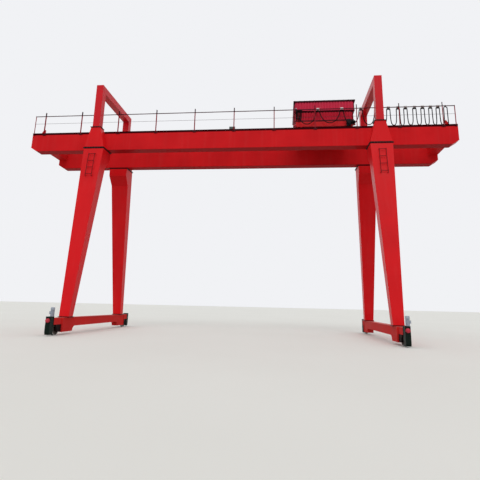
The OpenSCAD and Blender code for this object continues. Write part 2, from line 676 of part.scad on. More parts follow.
// Tow arm: reaches from the house's band over the festoon track
module tow_arm() color("dimgray") {
    block([tow_x, -cable_y - cable_d, tow_z], [tow_x + arm_w, -band_y, tow_z + 50]);
    block([tow_x, -band_y - cable_d - 10, tow_z], [tow_x + bundle_w, -band_y, tow_z + 50]);
}

// Cable bundle that hangs from the tow arm in front of the house
module trolley_cable() color("black") for (r = [70, 150])
    translate([tow_x + bundle_w / 2, -band_y - cable_d / 2 - fit_gap, tow_z - bundle_drop]) {
        rotate([90, 180, 0]) rotate_extrude(angle = 180) translate([r, 0]) circle(cable_d / 2);
        for (x = [-r, r]) translate([x, 0, 0]) cylinder(h = bundle_drop, d = cable_d);
    }

// Hoist ropes: two falls to each sheave of the hook block, up through the deck
module hoist_ropes() color("dimgray") for (sx = [-1, 1], side = [-1, 1])
    translate([trolley_x + sx * sheave_x + side * (sheave_d / 2 + rope_d / 2 + fit_gap), 0, sheave_z])
        cylinder(h = house_z - sheave_z, d = rope_d);

// Hook block: two plates round a pair of sheaves, a crosshead below them, and a forged hook
module hook_block() color("dimgray") translate([trolley_x, 0, sheave_z]) {
    sheave_w = 70;
    plate_t = 20;
    plate_h = 260;
    hook_r = 85;
    hook_d = 70;
    reach = sheave_x + sheave_d / 2 - 20;
    for (sy = [-1, 1]) translate([0, sy * (sheave_w + plate_t) / 2, 0]) along_y(plate_t) {
        for (sx = [-1, 1]) translate([sx * sheave_x, 0]) circle(sheave_d / 2 - 20);
        polygon([[-sheave_x, sheave_d / 2 - 20], [sheave_x, sheave_d / 2 - 20], [reach, 0],
            [hook_r, -plate_h], [-hook_r, -plate_h], [-reach, 0]]);
    }
    for (sx = [-1, 1]) translate([sx * sheave_x, 0, 0]) rotate([90, 0, 0])
        cylinder(h = sheave_w, d = sheave_d, center = true);
    block([-hook_r, -sheave_w / 2, -plate_h], [hook_r, sheave_w / 2, -plate_h + 90]);
    translate([0, 0, -plate_h - 80]) cylinder(h = 90, d = hook_d * 0.9);
    translate([0, 0, -plate_h - 80 - hook_r]) rotate([90, 0, 0]) rotate([0, 0, 150])
        rotate_extrude(angle = 290) translate([hook_r, 0]) circle(hook_d / 2);
}

color("red") girder(-1);  // girder_front
color("red") girder(1);  // girder_rear
end_ties();
trolley_rails();
rail_stops();
color("red") leg(-1, -1);  // leg_front_left
color("red") leg(1, -1);  // leg_front_right
color("red") leg(-1, 1);  // leg_rear_left
color("red") leg(1, 1);  // leg_rear_right
color("red") leg_heads(-1);  // leg_heads_left
color("red") leg_heads(1);  // leg_heads_right
color("red") saddle(-1);  // saddle_left
color("red") saddle(1);  // saddle_right
color("red") sill(-1);  // sill_left
color("red") sill(1);  // sill_right
bearing_boxes();
wheel(-1, -1);  // wheel_front_left
wheel(1, -1);  // wheel_front_right
wheel(-1, 1);  // wheel_rear_left
wheel(1, 1);  // wheel_rear_right
guards(-1);  // guards_left
guards(1);  // guards_right
guard_buffers();
travel_gearboxes();
travel_motors();
railing(-1);  // railing_front
railing(1);  // railing_rear
ladder(-1);  // ladder_left
ladder(1);  // ladder_right
festoon_track();
festoon_carriers();
festoon_cable();
junction_box();
trolley_frame();
trolley_wheels();
trolley_drives();
trolley_buffers();
house_wall();
house_band();
house_roof();
tow_arm();
trolley_cable();
hoist_ropes();
hook_block();
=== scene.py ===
# Rail-mounted gantry crane: two box girders with cantilevers on four A-frame legs, a housed
# hoist trolley on top of them, and a festoon cable along the front railing.
import math

import bmesh
import bpy
from mathutils import Matrix, Vector


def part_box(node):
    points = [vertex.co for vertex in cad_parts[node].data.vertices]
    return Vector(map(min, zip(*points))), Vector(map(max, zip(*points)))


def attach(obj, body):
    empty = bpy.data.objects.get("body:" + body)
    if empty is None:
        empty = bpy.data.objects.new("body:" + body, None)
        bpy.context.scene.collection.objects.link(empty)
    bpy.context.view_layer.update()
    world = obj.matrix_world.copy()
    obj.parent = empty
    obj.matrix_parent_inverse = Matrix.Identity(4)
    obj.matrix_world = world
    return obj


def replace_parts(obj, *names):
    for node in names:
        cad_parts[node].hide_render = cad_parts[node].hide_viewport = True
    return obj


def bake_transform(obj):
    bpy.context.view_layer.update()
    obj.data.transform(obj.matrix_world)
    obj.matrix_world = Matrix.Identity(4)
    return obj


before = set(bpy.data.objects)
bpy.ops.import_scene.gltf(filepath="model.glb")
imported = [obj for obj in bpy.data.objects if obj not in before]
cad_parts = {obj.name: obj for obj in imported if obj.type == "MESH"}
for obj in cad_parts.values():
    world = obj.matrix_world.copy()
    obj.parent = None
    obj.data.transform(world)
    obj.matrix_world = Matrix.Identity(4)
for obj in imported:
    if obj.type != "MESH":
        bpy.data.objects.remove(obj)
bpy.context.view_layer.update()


# The picture is taken at eye height in front of the crane, a little right of its middle,
# with a wide lens that looks up and slightly to the left.
def in_scene(name, data):
    """An object in the scene, at the origin."""
    made = bpy.data.objects.new(name, data)
    bpy.context.scene.collection.objects.link(made)
    return made


eye = (3.149, -26.349, 1.788)
turn, tilt, lean = math.radians(6.179), math.radians(12.633), math.radians(1.298)
ahead = Vector((-math.sin(turn) * math.cos(tilt), math.cos(turn) * math.cos(tilt), math.sin(tilt)))
level = Vector((math.cos(turn), math.sin(turn), 0))
upright = level.cross(ahead)
right = level * math.cos(lean) + upright * math.sin(lean)
top = upright * math.cos(lean) - level * math.sin(lean)
lens = bpy.data.cameras.new("camera")
lens.sensor_width = 36
lens.lens = 30.78
lens.shift_y = -0.05625
lens.clip_end = 2000
camera = in_scene("camera", lens)
camera.matrix_world = Matrix.Translation(eye) @ Matrix((right, top, -ahead)).transposed().to_4x4()
bpy.context.scene.camera = camera


# The yard is a plain pale slab under a bright overcast sky, with one broad soft lamp high in
# front of the crane, so that the undersides stay darker than the faces.
def tone(written):
    """A colour as painters write it, #rrggbb on the screen, in the renderer's own numbers."""
    parts = [int(written[i:i + 2], 16) / 255 for i in (1, 3, 5)]
    return (*[c / 12.92 if c <= 0.04045 else ((c + 0.055) / 1.055) ** 2.4 for c in parts], 1.0)


def fill(tree, made, inputs):
    """Links or sets the inputs of a node."""
    for name, value in inputs.items():
        if isinstance(value, bpy.types.NodeSocket):
            tree.links.new(value, made.inputs[name])
        else:
            made.inputs[name].default_value = value


def node(tree, kind, inputs=None, **settings):
    """Adds a node to a tree, with its settings and its inputs."""
    made = tree.nodes.new(kind)
    for name, value in settings.items():
        setattr(made, name, value)
    fill(tree, made, inputs or {})
    return made


def math_of(tree, operation, first, second=0.0):
    """A sum, a product or the like of two values."""
    return node(tree, "ShaderNodeMath", {0: first, 1: second}, operation=operation).outputs[0]


def share(tree, value, low, high, least=0.0, most=1.0):
    """How far a value has come from low to high, as a share from least to most."""
    ends = {"Value": value, "From Min": low, "From Max": high, "To Min": least, "To Max": most}
    return node(tree, "ShaderNodeMapRange", ends).outputs["Result"]


def over(tree, amount, under, colour):
    """Lays a colour over another one, by an amount from 0 to 1."""
    return node(tree, "ShaderNodeMix", {0: amount, 6: under, 7: colour}, data_type="RGBA").outputs[2]


def noise(tree, place, scale, detail, roughness=0.5):
    """A cloudy value from 0 to 1."""
    inputs = {"Vector": place, "Scale": scale, "Detail": detail, "Roughness": roughness}
    return node(tree, "ShaderNodeTexNoise", inputs).outputs["Fac"]


def seen_directly(tree):
    """1 on the rays that show a thing itself or its mirror image, 0 on those that only light."""
    ray = node(tree, "ShaderNodeLightPath").outputs
    seen = math_of(tree, "MAXIMUM", ray["Is Camera Ray"], ray["Is Glossy Ray"])
    return math_of(tree, "MAXIMUM", seen, ray["Is Transmission Ray"])


def new_finish(name):
    """A new material, with its node tree, its surface and the place on the object."""
    made = bpy.data.materials.new(name)
    made.use_nodes = True
    tree = made.node_tree
    return made, tree, tree.nodes["Principled BSDF"], node(tree, "ShaderNodeTexCoord").outputs["Object"]


slab, tree, skin, place = new_finish("yard_slab")
cloudy = noise(tree, place, 0.12, 5.0)
dull = over(tree, cloudy, tone("#aaa79f"), tone("#b4b1a9"))
pale = over(tree, cloudy, tone("#efeee7"), tone("#f6f5ef"))
fill(tree, skin, {"Base Color": over(tree, seen_directly(tree), dull, pale), "Specular IOR Level": 0.2,
                  "Roughness": 0.85})
far = 400
floor_mesh = bpy.data.meshes.new("yard")
floor_mesh.from_pydata([(-far, -far, 0), (far, -far, 0), (far, far, 0), (-far, far, 0)], [], [(0, 1, 2, 3)])
floor_mesh.materials.append(slab)
yard = in_scene("yard", floor_mesh)

sky = bpy.data.worlds.new("overcast")
sky.use_nodes = True
tree = sky.node_tree
tree.nodes.clear()
light = node(tree, "ShaderNodeBackground", {"Color": (0.97, 0.98, 1.0, 1.0), "Strength": 0.70}).outputs[0]
shown = node(tree, "ShaderNodeBackground", {"Color": tone("#f1f2f5"), "Strength": 1.0}).outputs[0]
both = node(tree, "ShaderNodeMixShader", {0: seen_directly(tree), 1: light, 2: shown}).outputs[0]
node(tree, "ShaderNodeOutputWorld", {"Surface": both})
bpy.context.scene.world = sky
lamp = bpy.data.lights.new("soft_lamp", "SUN")
lamp.energy = 0.6
lamp.angle = math.radians(35)
in_scene("soft_lamp", lamp).rotation_euler = (math.radians(48), 0, 0)
bpy.context.scene.view_settings.view_transform = "Standard"


# Sill beams: welded box beams that carry the legs' feet, with deep ends that arch down to
# the wheels. They are coated in the crane's red, and the yard's dust lies on their lower parts.
def relief(tree, height, strength, distance, under=None):
    """Raises the surface with a height, over the relief that it has already."""
    inputs = {"Height": height, "Strength": strength, "Distance": distance}
    if under is not None:
        inputs["Normal"] = under
    return node(tree, "ShaderNodeBump", inputs).outputs[0]


def painted_steel(name, colour, gloss=0.32, shine=0.1, patches=0.07, streaks=0.05, dirt=0.10, mud=0.0,
                  ribs=0.0, bands=()):
    """Coated steel plate: broad patches, rain streaks, specks of dirt, and mud near the ground.
    Where ribs is set, the diaphragms inside a box print through its plates at that spacing. Each
    band is a low and a high edge, a soft width, an amount and the colour that it turns to."""
    paint, tree, skin, place = new_finish(name)
    stretched = node(tree, "ShaderNodeMapping", {"Vector": place, "Scale": (5.0, 5.0, 0.28)}).outputs[0]
    broad = noise(tree, place, 0.5, 4.0)
    rain = noise(tree, stretched, 1.0, 7.0)
    fine = noise(tree, place, 7.0, 9.0, 0.7)
    base = tone(colour)
    dark = [c * (1 - patches) for c in base[:3]] + [1.0]
    bright = [min(1.0, c * (1 + patches)) for c in base[:3]] + [1.0]
    coat = over(tree, share(tree, broad, 0.35, 0.65), dark, bright)
    dusty = [0.6 * c + 0.4 * d for c, d in zip(base, tone("#c9a79f"))]
    coat = over(tree, share(tree, rain, 0.5, 0.72, 0.0, streaks), coat, dusty)
    coat = over(tree, share(tree, fine, 0.6, 0.74, 0.0, dirt), coat, [0.25 * c for c in base[:3]] + [1.0])
    apart = node(tree, "ShaderNodeSeparateXYZ", {"Vector": place}).outputs
    for z0, z1, soft, amount, shade in bands:
        above = share(tree, apart["Z"], z0 - soft, z0)
        below = share(tree, apart["Z"], z1 + soft, z1, 0.0, amount)
        coat = over(tree, math_of(tree, "MULTIPLY", above, below), coat, tone(shade))
    if mud:
        splash = math_of(tree, "MULTIPLY", share(tree, apart["Z"], mud, 0.0), share(tree, fine, 0.35, 0.6))
        coat = over(tree, share(tree, splash, 0.0, 1.0, 0.0, 0.55), coat, tone("#8d7c6c"))
    bumps = relief(tree, noise(tree, place, 1.1, 1.0), 0.35, 0.006)
    if ribs:
        bay = math_of(tree, "PINGPONG", apart["X"], ribs)
        bumps = relief(tree, share(tree, bay, 0.0, 0.05), 0.25, 0.003, bumps)
    bumps = relief(tree, noise(tree, place, 60.0, 2.0), 0.12, 0.001, bumps)
    fill(tree, skin, {"Base Color": coat, "Specular IOR Level": shine, "Normal": bumps,
                      "Roughness": share(tree, broad, 0.3, 0.7, gloss - 0.06, gloss + 0.1)})
    return paint


def finish_nodes(material, *names):
    """Gives CAD nodes their finish."""
    for name in names:
        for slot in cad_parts[name].material_slots:
            slot.material = material


# The pale band along the top plate (0.9 to 0.92 m) is a painted highlight: the sky's glare on the top face.
sill_red = painted_steel("sill_red", "#da302e", gloss=0.5, shine=0.02, mud=0.15, dirt=0.2,
                         bands=((0.9, 0.92, 0.004, 0.35, "#d99a92"),))
finish_nodes(sill_red, "sill_left", "sill_right")


# Bolts on the sill beams' end plates and through the legs' foot flanges: hexagon heads on
# washers, coated with the beams they hold.
def new_tree(name, *sizes):
    """A geometry tree with one mesh in and out, a material, and named sizes."""
    tree = bpy.data.node_groups.new(name, "GeometryNodeTree")
    given = [("Geometry", "Geometry"), *[(size, "Float") for size in sizes], ("Finish", "Material")]
    for label, kind in given:
        tree.interface.new_socket(label, in_out="INPUT", socket_type="NodeSocket" + kind)
    tree.interface.new_socket("Geometry", in_out="OUTPUT", socket_type="NodeSocketGeometry")
    return tree, tree.nodes.new("NodeGroupInput").outputs


def upwards(tree, shape, height):
    """A shape moved up its own axis."""
    offset = node(tree, "ShaderNodeCombineXYZ", {"Z": height}).outputs[0]
    return node(tree, "GeometryNodeTransform", {"Geometry": shape, "Translation": offset}).outputs[0]


def bar(tree, sides, radius, depth, height):
    """A short round or six-sided bar, with its middle at a height."""
    ends = {"Vertices": sides, "Radius": radius, "Depth": depth}
    return upwards(tree, node(tree, "GeometryNodeMeshCylinder", ends).outputs["Mesh"], height)


def joined(tree, shapes):
    """Several shapes as one."""
    whole = node(tree, "GeometryNodeJoinGeometry")
    for shape in shapes:
        tree.links.new(shape, whole.inputs[0])
    return whole.outputs[0]


def random_of(tree, low, high, seed):
    """A random value between low and high, one for each point."""
    inputs = {2: low, 3: high, "Seed": seed}
    return node(tree, "FunctionNodeRandomValue", inputs, data_type="FLOAT").outputs[1]


def turned_outwards(tree):
    """A rotation that stands a shape up along each point's own direction, with a spin of its own."""
    out = node(tree, "GeometryNodeInputNamedAttribute", {"Name": "out"}, data_type="FLOAT_VECTOR").outputs[0]
    stand = node(tree, "FunctionNodeAlignRotationToVector", {"Vector": out}, axis="Z").outputs[0]
    spin = random_of(tree, 0.0, 1.05, 7)
    own = node(tree, "FunctionNodeAxisAngleToRotation", {"Axis": (0.0, 0.0, 1.0), "Angle": spin}).outputs[0]
    return node(tree, "FunctionNodeRotateRotation", {0: stand, 1: own}, rotation_space="LOCAL").outputs[0]


def finished(tree, shape, finish):
    """Ends a tree: copies made real, and the finish on them."""
    real = node(tree, "GeometryNodeRealizeInstances", {"Geometry": shape}).outputs[0]
    dressed = node(tree, "GeometryNodeSetMaterial", {"Geometry": real, "Material": finish}).outputs[0]
    node(tree, "NodeGroupOutput", {"Geometry": dressed})


bolt_tree, given = new_tree("hexagon_bolts", "Head width")
thread, washer, head = (10, 0.32, 0.4, 0.75), (14, 0.85, 0.14, 0.07), (6, 0.577, 0.6, 0.42)
shapes = []
for sides, *shares in (thread, washer, head):
    sizes = [math_of(bolt_tree, "MULTIPLY", given["Head width"], share_of) for share_of in shares]
    shapes.append(bar(bolt_tree, sides, *sizes))
on_points = node(bolt_tree, "GeometryNodeInstanceOnPoints",
                 {"Points": given["Geometry"], "Instance": joined(bolt_tree, shapes),
                  "Rotation": turned_outwards(bolt_tree)}).outputs[0]
finished(bolt_tree, on_points, given["Finish"])


def worked(name, tree, points, body, slot, finish, edges=(), out=None, **sizes):
    """Runs a tree on points or lines, and keeps its result as a plain mesh that rides on a body."""
    start = bpy.data.meshes.new(name)
    start.from_pydata([tuple(p) for p in points], list(edges), [])
    if out is not None:
        directions = [c for v in out for c in v]
        start.attributes.new("out", "FLOAT_VECTOR", "POINT").data.foreach_set("vector", directions)
    piece = in_scene(name, start)
    work = piece.modifiers.new("work", "NODES")
    work.node_group = tree
    sizes["Finish"] = finish
    for socket in tree.interface.items_tree:
        if socket.in_out == "INPUT" and socket.name in sizes:
            work[socket.identifier] = sizes[socket.name]
    bpy.context.view_layer.update()
    done = piece.evaluated_get(bpy.context.evaluated_depsgraph_get())
    plain = bpy.data.meshes.new_from_object(done)
    piece.modifiers.clear()
    piece.data = plain
    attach(piece, body)


def bolts(name, spots, width, body, slot, finish):
    """Bolts at (place, direction) spots."""
    places, directions = zip(*spots)
    worked(name, bolt_tree, places, body, slot, finish, out=directions, **{"Head width": width})


four_corners = [(sx, sy) for sx in (-1, 1) for sy in (-1, 1)]
half_span, notch_y = 9.0, 4.4
foot_in, foot_out, foot_flange_top = 3.49, 3.96, 0.945
spots = []
for sx, sy in four_corners:
    for x in (sx * half_span - 0.215, sx * half_span + 0.215):
        for z in [0.2 + i * 0.127 for i in range(6)]:
            spots.append(((x, sy * (notch_y - 0.025), z), (0, -sy, 0)))
            spots.append(((x, sy * notch_y, z), (0, sy, 0)))
bolts("end_plate_bolts", spots, 0.02, "crane", "red_paint", sill_red)
end_rows = [(x, y) for x in (-0.25, -0.083, 0.083, 0.25) for y in (foot_in - 0.022, foot_out + 0.022)]
side_rows = [(x, y) for x in (-0.308, 0.308) for y in (3.57, 3.725, 3.88)]
spots = [((sx * half_span + x, sy * y, foot_flange_top), (0, 0, 1))
         for rows in (end_rows, side_rows) for sx, sy in four_corners for x, y in rows]
bolts("foot_bolts", spots, 0.026, "crane", "red_paint", sill_red)


# Travel wheels: forged steel with two flanges, pressed on their axles. The ground rails keep
# treads and flanges bright, and the webs are dark scale under grease and dust.
def wheel_steel(name, axis, middle, reach, height, tread):
    """Steel that is bright from the tread outwards, for axles at reach to both sides of middle."""
    steel, tree, skin, place = new_finish(name)
    apart = node(tree, "ShaderNodeSeparateXYZ", {"Vector": place}).outputs
    off = math_of(tree, "ABSOLUTE", math_of(tree, "SUBTRACT", apart[axis], middle))
    off, up = math_of(tree, "SUBTRACT", off, reach), math_of(tree, "SUBTRACT", apart["Z"], height)
    from_axle = node(tree, "ShaderNodeCombineXYZ", {"X": off, "Y": up}).outputs[0]
    radius = node(tree, "ShaderNodeVectorMath", {0: from_axle}, operation="LENGTH").outputs["Value"]
    mottle = noise(tree, place, 14.0, 8.0, 0.65)
    scale = over(tree, share(tree, mottle, 0.35, 0.65), tone("#3b3734"), tone("#5a4c42"))
    scale = over(tree, share(tree, radius, tread * 0.5, tread * 0.25, 0.0, 0.7), scale, tone("#1c1a19"))
    bright = share(tree, radius, tread - 0.012, tread - 0.003)
    fill(tree, skin, {"Base Color": over(tree, bright, scale, tone("#a9a7a3")),
                      "Metallic": math_of(tree, "MULTIPLY", bright, 0.95),
                      "Roughness": share(tree, bright, 0.0, 1.0, 0.62, 0.27),
                      "Normal": relief(tree, mottle, 0.25, 0.002)})
    return steel


axle_y, axle_z = 4.78, 0.325
travel_steel = wheel_steel("travel_wheel_steel", "Y", 0.0, axle_y, axle_z, 0.3)
finish_nodes(travel_steel, "wheel_front_left", "wheel_front_right", "wheel_rear_left", "wheel_rear_right")


# Bearing boxes: cast housings bolted in the wheel notches. A turned cover closes the inner
# side of each axle, with six screws round it.
def crossing(axis):
    """The direction of an axis, and two directions across it."""
    axis = Vector(axis).normalized()
    across = axis.orthogonal().normalized()
    return axis, across, axis.cross(across)


def circle(middle, across, other, radius, count, start=0.0):
    """Places on a circle, counted from the direction across to the other one."""
    turns = [start + 2 * math.pi * i / count for i in range(count)]
    return [middle + (across * math.cos(a) + other * math.sin(a)) * radius for a in turns]


def turned(work, profile, centre, axis, sides=32):
    """Turns a profile of (radius, distance) steps round an axis, and closes its ends."""
    axis, across, other = crossing(axis)
    rings = []
    for radius, along in profile:
        ring = circle(Vector(centre) + axis * along, across, other, radius, sides if radius else 1)
        rings.append([work.verts.new(spot) for spot in ring])
    for low, high in zip(rings, rings[1:]):
        for i in range(sides):
            k = (i + 1) % sides
            corners = [low[i % len(low)], low[k % len(low)], high[k % len(high)], high[i % len(high)]]
            corners = [c for n, c in enumerate(corners) if c not in corners[:n]]
            if len(corners) > 2:
                work.faces.new(corners)
    for ring in (rings[0], rings[-1]):
        if len(ring) > 2:
            work.faces.new(ring)


def ring_spots(centre, axis, radius, count, start=0.0):
    """Places round an axis, each with the axis as its direction."""
    axis, across, other = crossing(axis)
    return [(spot, axis) for spot in circle(Vector(centre), across, other, radius, count, start)]


def piece_of(name, work, body, finish, angle=35):
    """Ends a worked mesh as a piece: faces outwards, smooth but for its sharp edges."""
    bmesh.ops.recalc_face_normals(work, faces=work.faces)
    mesh = bpy.data.meshes.new(name)
    work.to_mesh(mesh)
    work.free()
    mesh.materials.append(finish)
    mesh.shade_smooth()
    mesh.set_sharp_from_angle(angle=math.radians(angle))
    piece = in_scene(name, mesh)
    if body:
        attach(piece, body)
    return piece


# The bearing boxes are painted near black, and darker towards the bottom.
near_black_red = painted_steel("near_black_red", "#2a1214", gloss=0.4, shine=0.03, patches=0.3, dirt=0.6,
                           bands=((0.1, 0.42, 0.12, 0.6, "#15100f"),))
finish_nodes(near_black_red, "bearing_boxes")
cover = [(0.112, -0.002), (0.112, 0.01), (0.108, 0.014), (0.07, 0.016), (0.062, 0.024), (0.02, 0.026),
         (0, 0.026)]
work, spots = bmesh.new(), []
for sx, sy in four_corners:
    face_x = sx * (half_span - 0.15)
    turned(work, cover, (face_x, sy * axle_y, axle_z), (-sx, 0, 0), 40)
    spots += ring_spots((face_x - sx * 0.014, sy * axle_y, axle_z), (-sx, 0, 0), 0.091, 6, 0.4)
piece_of("bearing_covers", work, "crane", near_black_red)
bolts("bearing_cover_screws", spots, 0.018, "crane", "red_paint", near_black_red)


# Wheel guards: boxes of folded plate in dark green, hung on the sill beams' ends with a bolted
# angle on each side and a lid on top.
def block(work, corner, opposite, soft=0.0):
    """A block between two opposite corners, with its edges rounded by soft."""
    low, high = (Vector([end(pair) for pair in zip(corner, opposite)]) for end in (min, max))
    place = Matrix.Translation((low + high) / 2) @ Matrix.Diagonal((*(high - low), 1.0))
    made = bmesh.ops.create_cube(work, size=1.0, matrix=place)["verts"]
    if soft:
        edges = list({e for v in made for e in v.link_edges})
        bmesh.ops.bevel(work, geom=edges, offset=soft, segments=2, profile=0.5, affect="EDGES",
                        clamp_overlap=True)


guard_green = painted_steel("guard_green", "#0c1d17", gloss=0.5, dirt=0.2, streaks=0.03)
finish_nodes(guard_green, "guards_left", "guards_right")
guard_half = 0.138
work, spots = bmesh.new(), []
for sx, sy in four_corners:
    x = sx * half_span
    for side in (-1, 1):
        face_x = x + side * guard_half
        block(work, (x + side * 0.129, sy * 5.15, 0.45), (face_x, sy * 5.205, 0.955), 0.002)
        spots += [((face_x, sy * 5.18, 0.5 + i * 0.13), (side, 0, 0)) for i in range(4)]
    block(work, (x - guard_half, sy * 5.152, 0.972), (x + guard_half, sy * 5.506, 0.982), 0.003)
piece_of("guard_angles_and_lids", work, "crane", guard_green)
bolts("guard_screws", spots, 0.017, "crane", "green_paint", guard_green)


# Buffers: round polyurethane cushions in red, cast on steel base plates. Six small screws near
# the rim hold each plate on its wheel guard.
def plain_finish(name, colour, second, scale, roughness, metallic=0.0, speck=0.0, shine=0.4):
    """A finish that clouds between two colours, with a fine grain on it."""
    finish, tree, skin, place = new_finish(name)
    cloud, grain = noise(tree, place, scale, 7.0, 0.6), noise(tree, place, scale * 22, 3.0)
    coat = over(tree, share(tree, cloud, 0.36, 0.64), tone(colour), tone(second))
    coat = over(tree, share(tree, grain, 0.6, 0.72, 0.0, speck), coat, tone("#15120f"))
    fill(tree, skin, {"Base Color": coat, "Metallic": metallic, "Specular IOR Level": shine,
                      "Roughness": share(tree, cloud, 0.3, 0.7, roughness - 0.07, roughness + 0.09),
                      "Normal": relief(tree, grain, 0.3, 0.001)})
    return finish


buffer_red = plain_finish("buffer_red", "#c0273b", "#cf3448", 9.0, 0.5, speck=0.2)
dark_steel = plain_finish("dark_steel", "#3b3a3a", "#4e4945", 12.0, 0.5, metallic=0.6, speck=0.2)
cushion = [(0.115, 0), (0.115, 0.01), (0.113, 0.012), (0.1, 0.012), (0.1, 0.024), (0.094, 0.03),
           (0.094, 0.04), (0.1, 0.046), (0.1, 0.076), (0.095, 0.096), (0.083, 0.112), (0.062, 0.119),
           (0, 0.12)]
root_y, buffer_z = 5.5, 0.78
work, spots = bmesh.new(), []
for sx, sy in four_corners:
    turned(work, cushion, (sx * half_span, sy * root_y, buffer_z), (0, sy, 0), 48)
    spots += ring_spots((sx * half_span, sy * root_y + sy * 0.011, buffer_z), (0, sy, 0), 0.107, 6)
buffers = piece_of("guard_buffers_cast", work, "crane", buffer_red)
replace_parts(buffers, "guard_buffers")
bolts("buffer_screws", spots, 0.011, "crane", "red_paint", dark_steel)


# Travel drives: cast gearboxes hung on the outer bearing boxes, with upright finned motors in
# grey enamel. Covers, plugs, terminal lids and fan grilles are bolted on.
enamel = painted_steel("motor_enamel", "#b3bdc9", gloss=0.36, patches=0.05, streaks=0.2, dirt=0.25)
finish_nodes(enamel, "travel_gearboxes", "travel_motors")
# The thin dark discs under the fan grilles are painted shade, for the dark recess behind each grille.
painted_recess_shade = plain_finish("painted_recess_shade", "#141416", "#1e1e20", 20.0, 0.7)
axle_cover = [(0.075, -0.002), (0.075, 0.012), (0.07, 0.016), (0.03, 0.018), (0, 0.018)]
oil_plug = [(0.018, -0.002), (0.018, 0.008), (0.012, 0.01), (0.012, 0.022), (0, 0.022)]
oil_glass = [(0.022, -0.002), (0.022, 0.004), (0, 0.004)]
gland = [(0.017, 0), (0.017, 0.016), (0.013, 0.02), (0.013, 0.03), (0, 0.03)]
cowl_top, hoop_top = 1.4455, 1.448
up, down = (0, 0, 1), (0, 0, -1)
work, recess_shade_work, spots = bmesh.new(), bmesh.new(), []
for sx, sy in four_corners:
    outer, out = sx * (half_span + 0.27), (sx, 0, 0)
    turned(work, axle_cover, (outer, sy * axle_y, axle_z), out, 40)
    turned(work, oil_plug, (outer, sy * (axle_y - 0.05), 0.62), out, 6)
    turned(work, oil_glass, (outer, sy * (axle_y + 0.045), 0.5), out, 24)
    spots += ring_spots((outer, sy * axle_y, axle_z), out, 0.12, 8, 0.2)
    spots += [((outer, sy * (axle_y + y), z), out) for y in (-0.072, 0.072) for z in (0.55, 0.68, 0.81)]
    motor_x, motor_y = sx * (half_span + 0.21), sy * axle_y
    spots += ring_spots((motor_x, motor_y, 0.9926), up, 0.1, 4, math.pi / 4)
    lid_x = motor_x + sx * 0.1408
    lid_face = lid_x + sx * 0.012
    block(work, (lid_x - sx * 0.001, motor_y - 0.058, 1.09), (lid_face, motor_y + 0.058, 1.233), 0.003)
    spots += [((lid_face, motor_y + y, z), out) for y in (-0.045, 0.045) for z in (1.104, 1.219)]
    for side in (-1, 1):
        turned(work, gland, (motor_x + sx * 0.1, motor_y + side * 0.03, 1.0935), down, 12)
    # Painted shade: a thin dark disc for the recess under the fan grille.
    turned(recess_shade_work, [(0.08, cowl_top - 0.001), (0.08, cowl_top), (0, cowl_top)], (motor_x, motor_y, 0), up, 40)
    for radius in (0.02, 0.038, 0.056, 0.074):
        hoop = [(radius - 0.002, cowl_top), (radius - 0.001, hoop_top),
                (radius + 0.001, hoop_top), (radius + 0.002, cowl_top)]
        turned(work, hoop, (motor_x, motor_y, 0), up, 40)
    spoke = Matrix.Diagonal((0.16, 0.003, 0.003, 1.0))
    for i in range(3):
        place = Matrix.Translation((motor_x, motor_y, 1.4465)) @ Matrix.Rotation(math.radians(60 * i), 4, "Z")
        bmesh.ops.create_cube(work, size=1.0, matrix=place @ spoke)
piece_of("drive_covers_and_lids", work, "crane", enamel)
piece_of("fan_recess_shade_discs", recess_shade_work, "crane", painted_recess_shade)
bolts("drive_screws", spots, 0.014, "crane", "zinc_steel", dark_steel)


# Legs: tapered boxes of welded plate between a foot flange and a haunched head. Bolts hold the
# top flanges to the girders, and a fillet runs round each flange.
weld_tree, given = new_tree("weld_beads", "Bead")
line = node(weld_tree, "GeometryNodeMeshToCurve", {"Mesh": given["Geometry"]}).outputs[0]
line = node(weld_tree, "GeometryNodeResampleCurve", {"Curve": line, "Length": 0.12}, mode="LENGTH").outputs[0]
uneven = {"Curve": line, "Radius": random_of(weld_tree, 0.85, 1.15, 3)}
line = node(weld_tree, "GeometryNodeSetCurveRadius", uneven).outputs[0]
ring = node(weld_tree, "GeometryNodeCurvePrimitiveCircle", {"Resolution": 6, "Radius": given["Bead"]})
bead = node(weld_tree, "GeometryNodeCurveToMesh",
            {"Curve": line, "Profile Curve": ring.outputs["Curve"], "Fill Caps": True}).outputs[0]
finished(weld_tree, bead, given["Finish"])


def welds(name, runs, bead, body, slot, finish):
    """Fillets along runs of points."""
    points, edges = [], []
    for run in runs:
        edges += [(len(points) + i, len(points) + i + 1) for i in range(len(run) - 1)]
        points += run
    worked(name, weld_tree, points, body, slot, finish, edges=edges, Bead=bead)


def round_run(middle, half, y0, y1, z):
    """A closed run round a flat rectangle that reaches half to both sides of middle."""
    x0, x1 = middle - half, middle + half
    return [(x0, y0, z), (x0, y1, z), (x1, y1, z), (x1, y0, z), (x0, y0, z)]


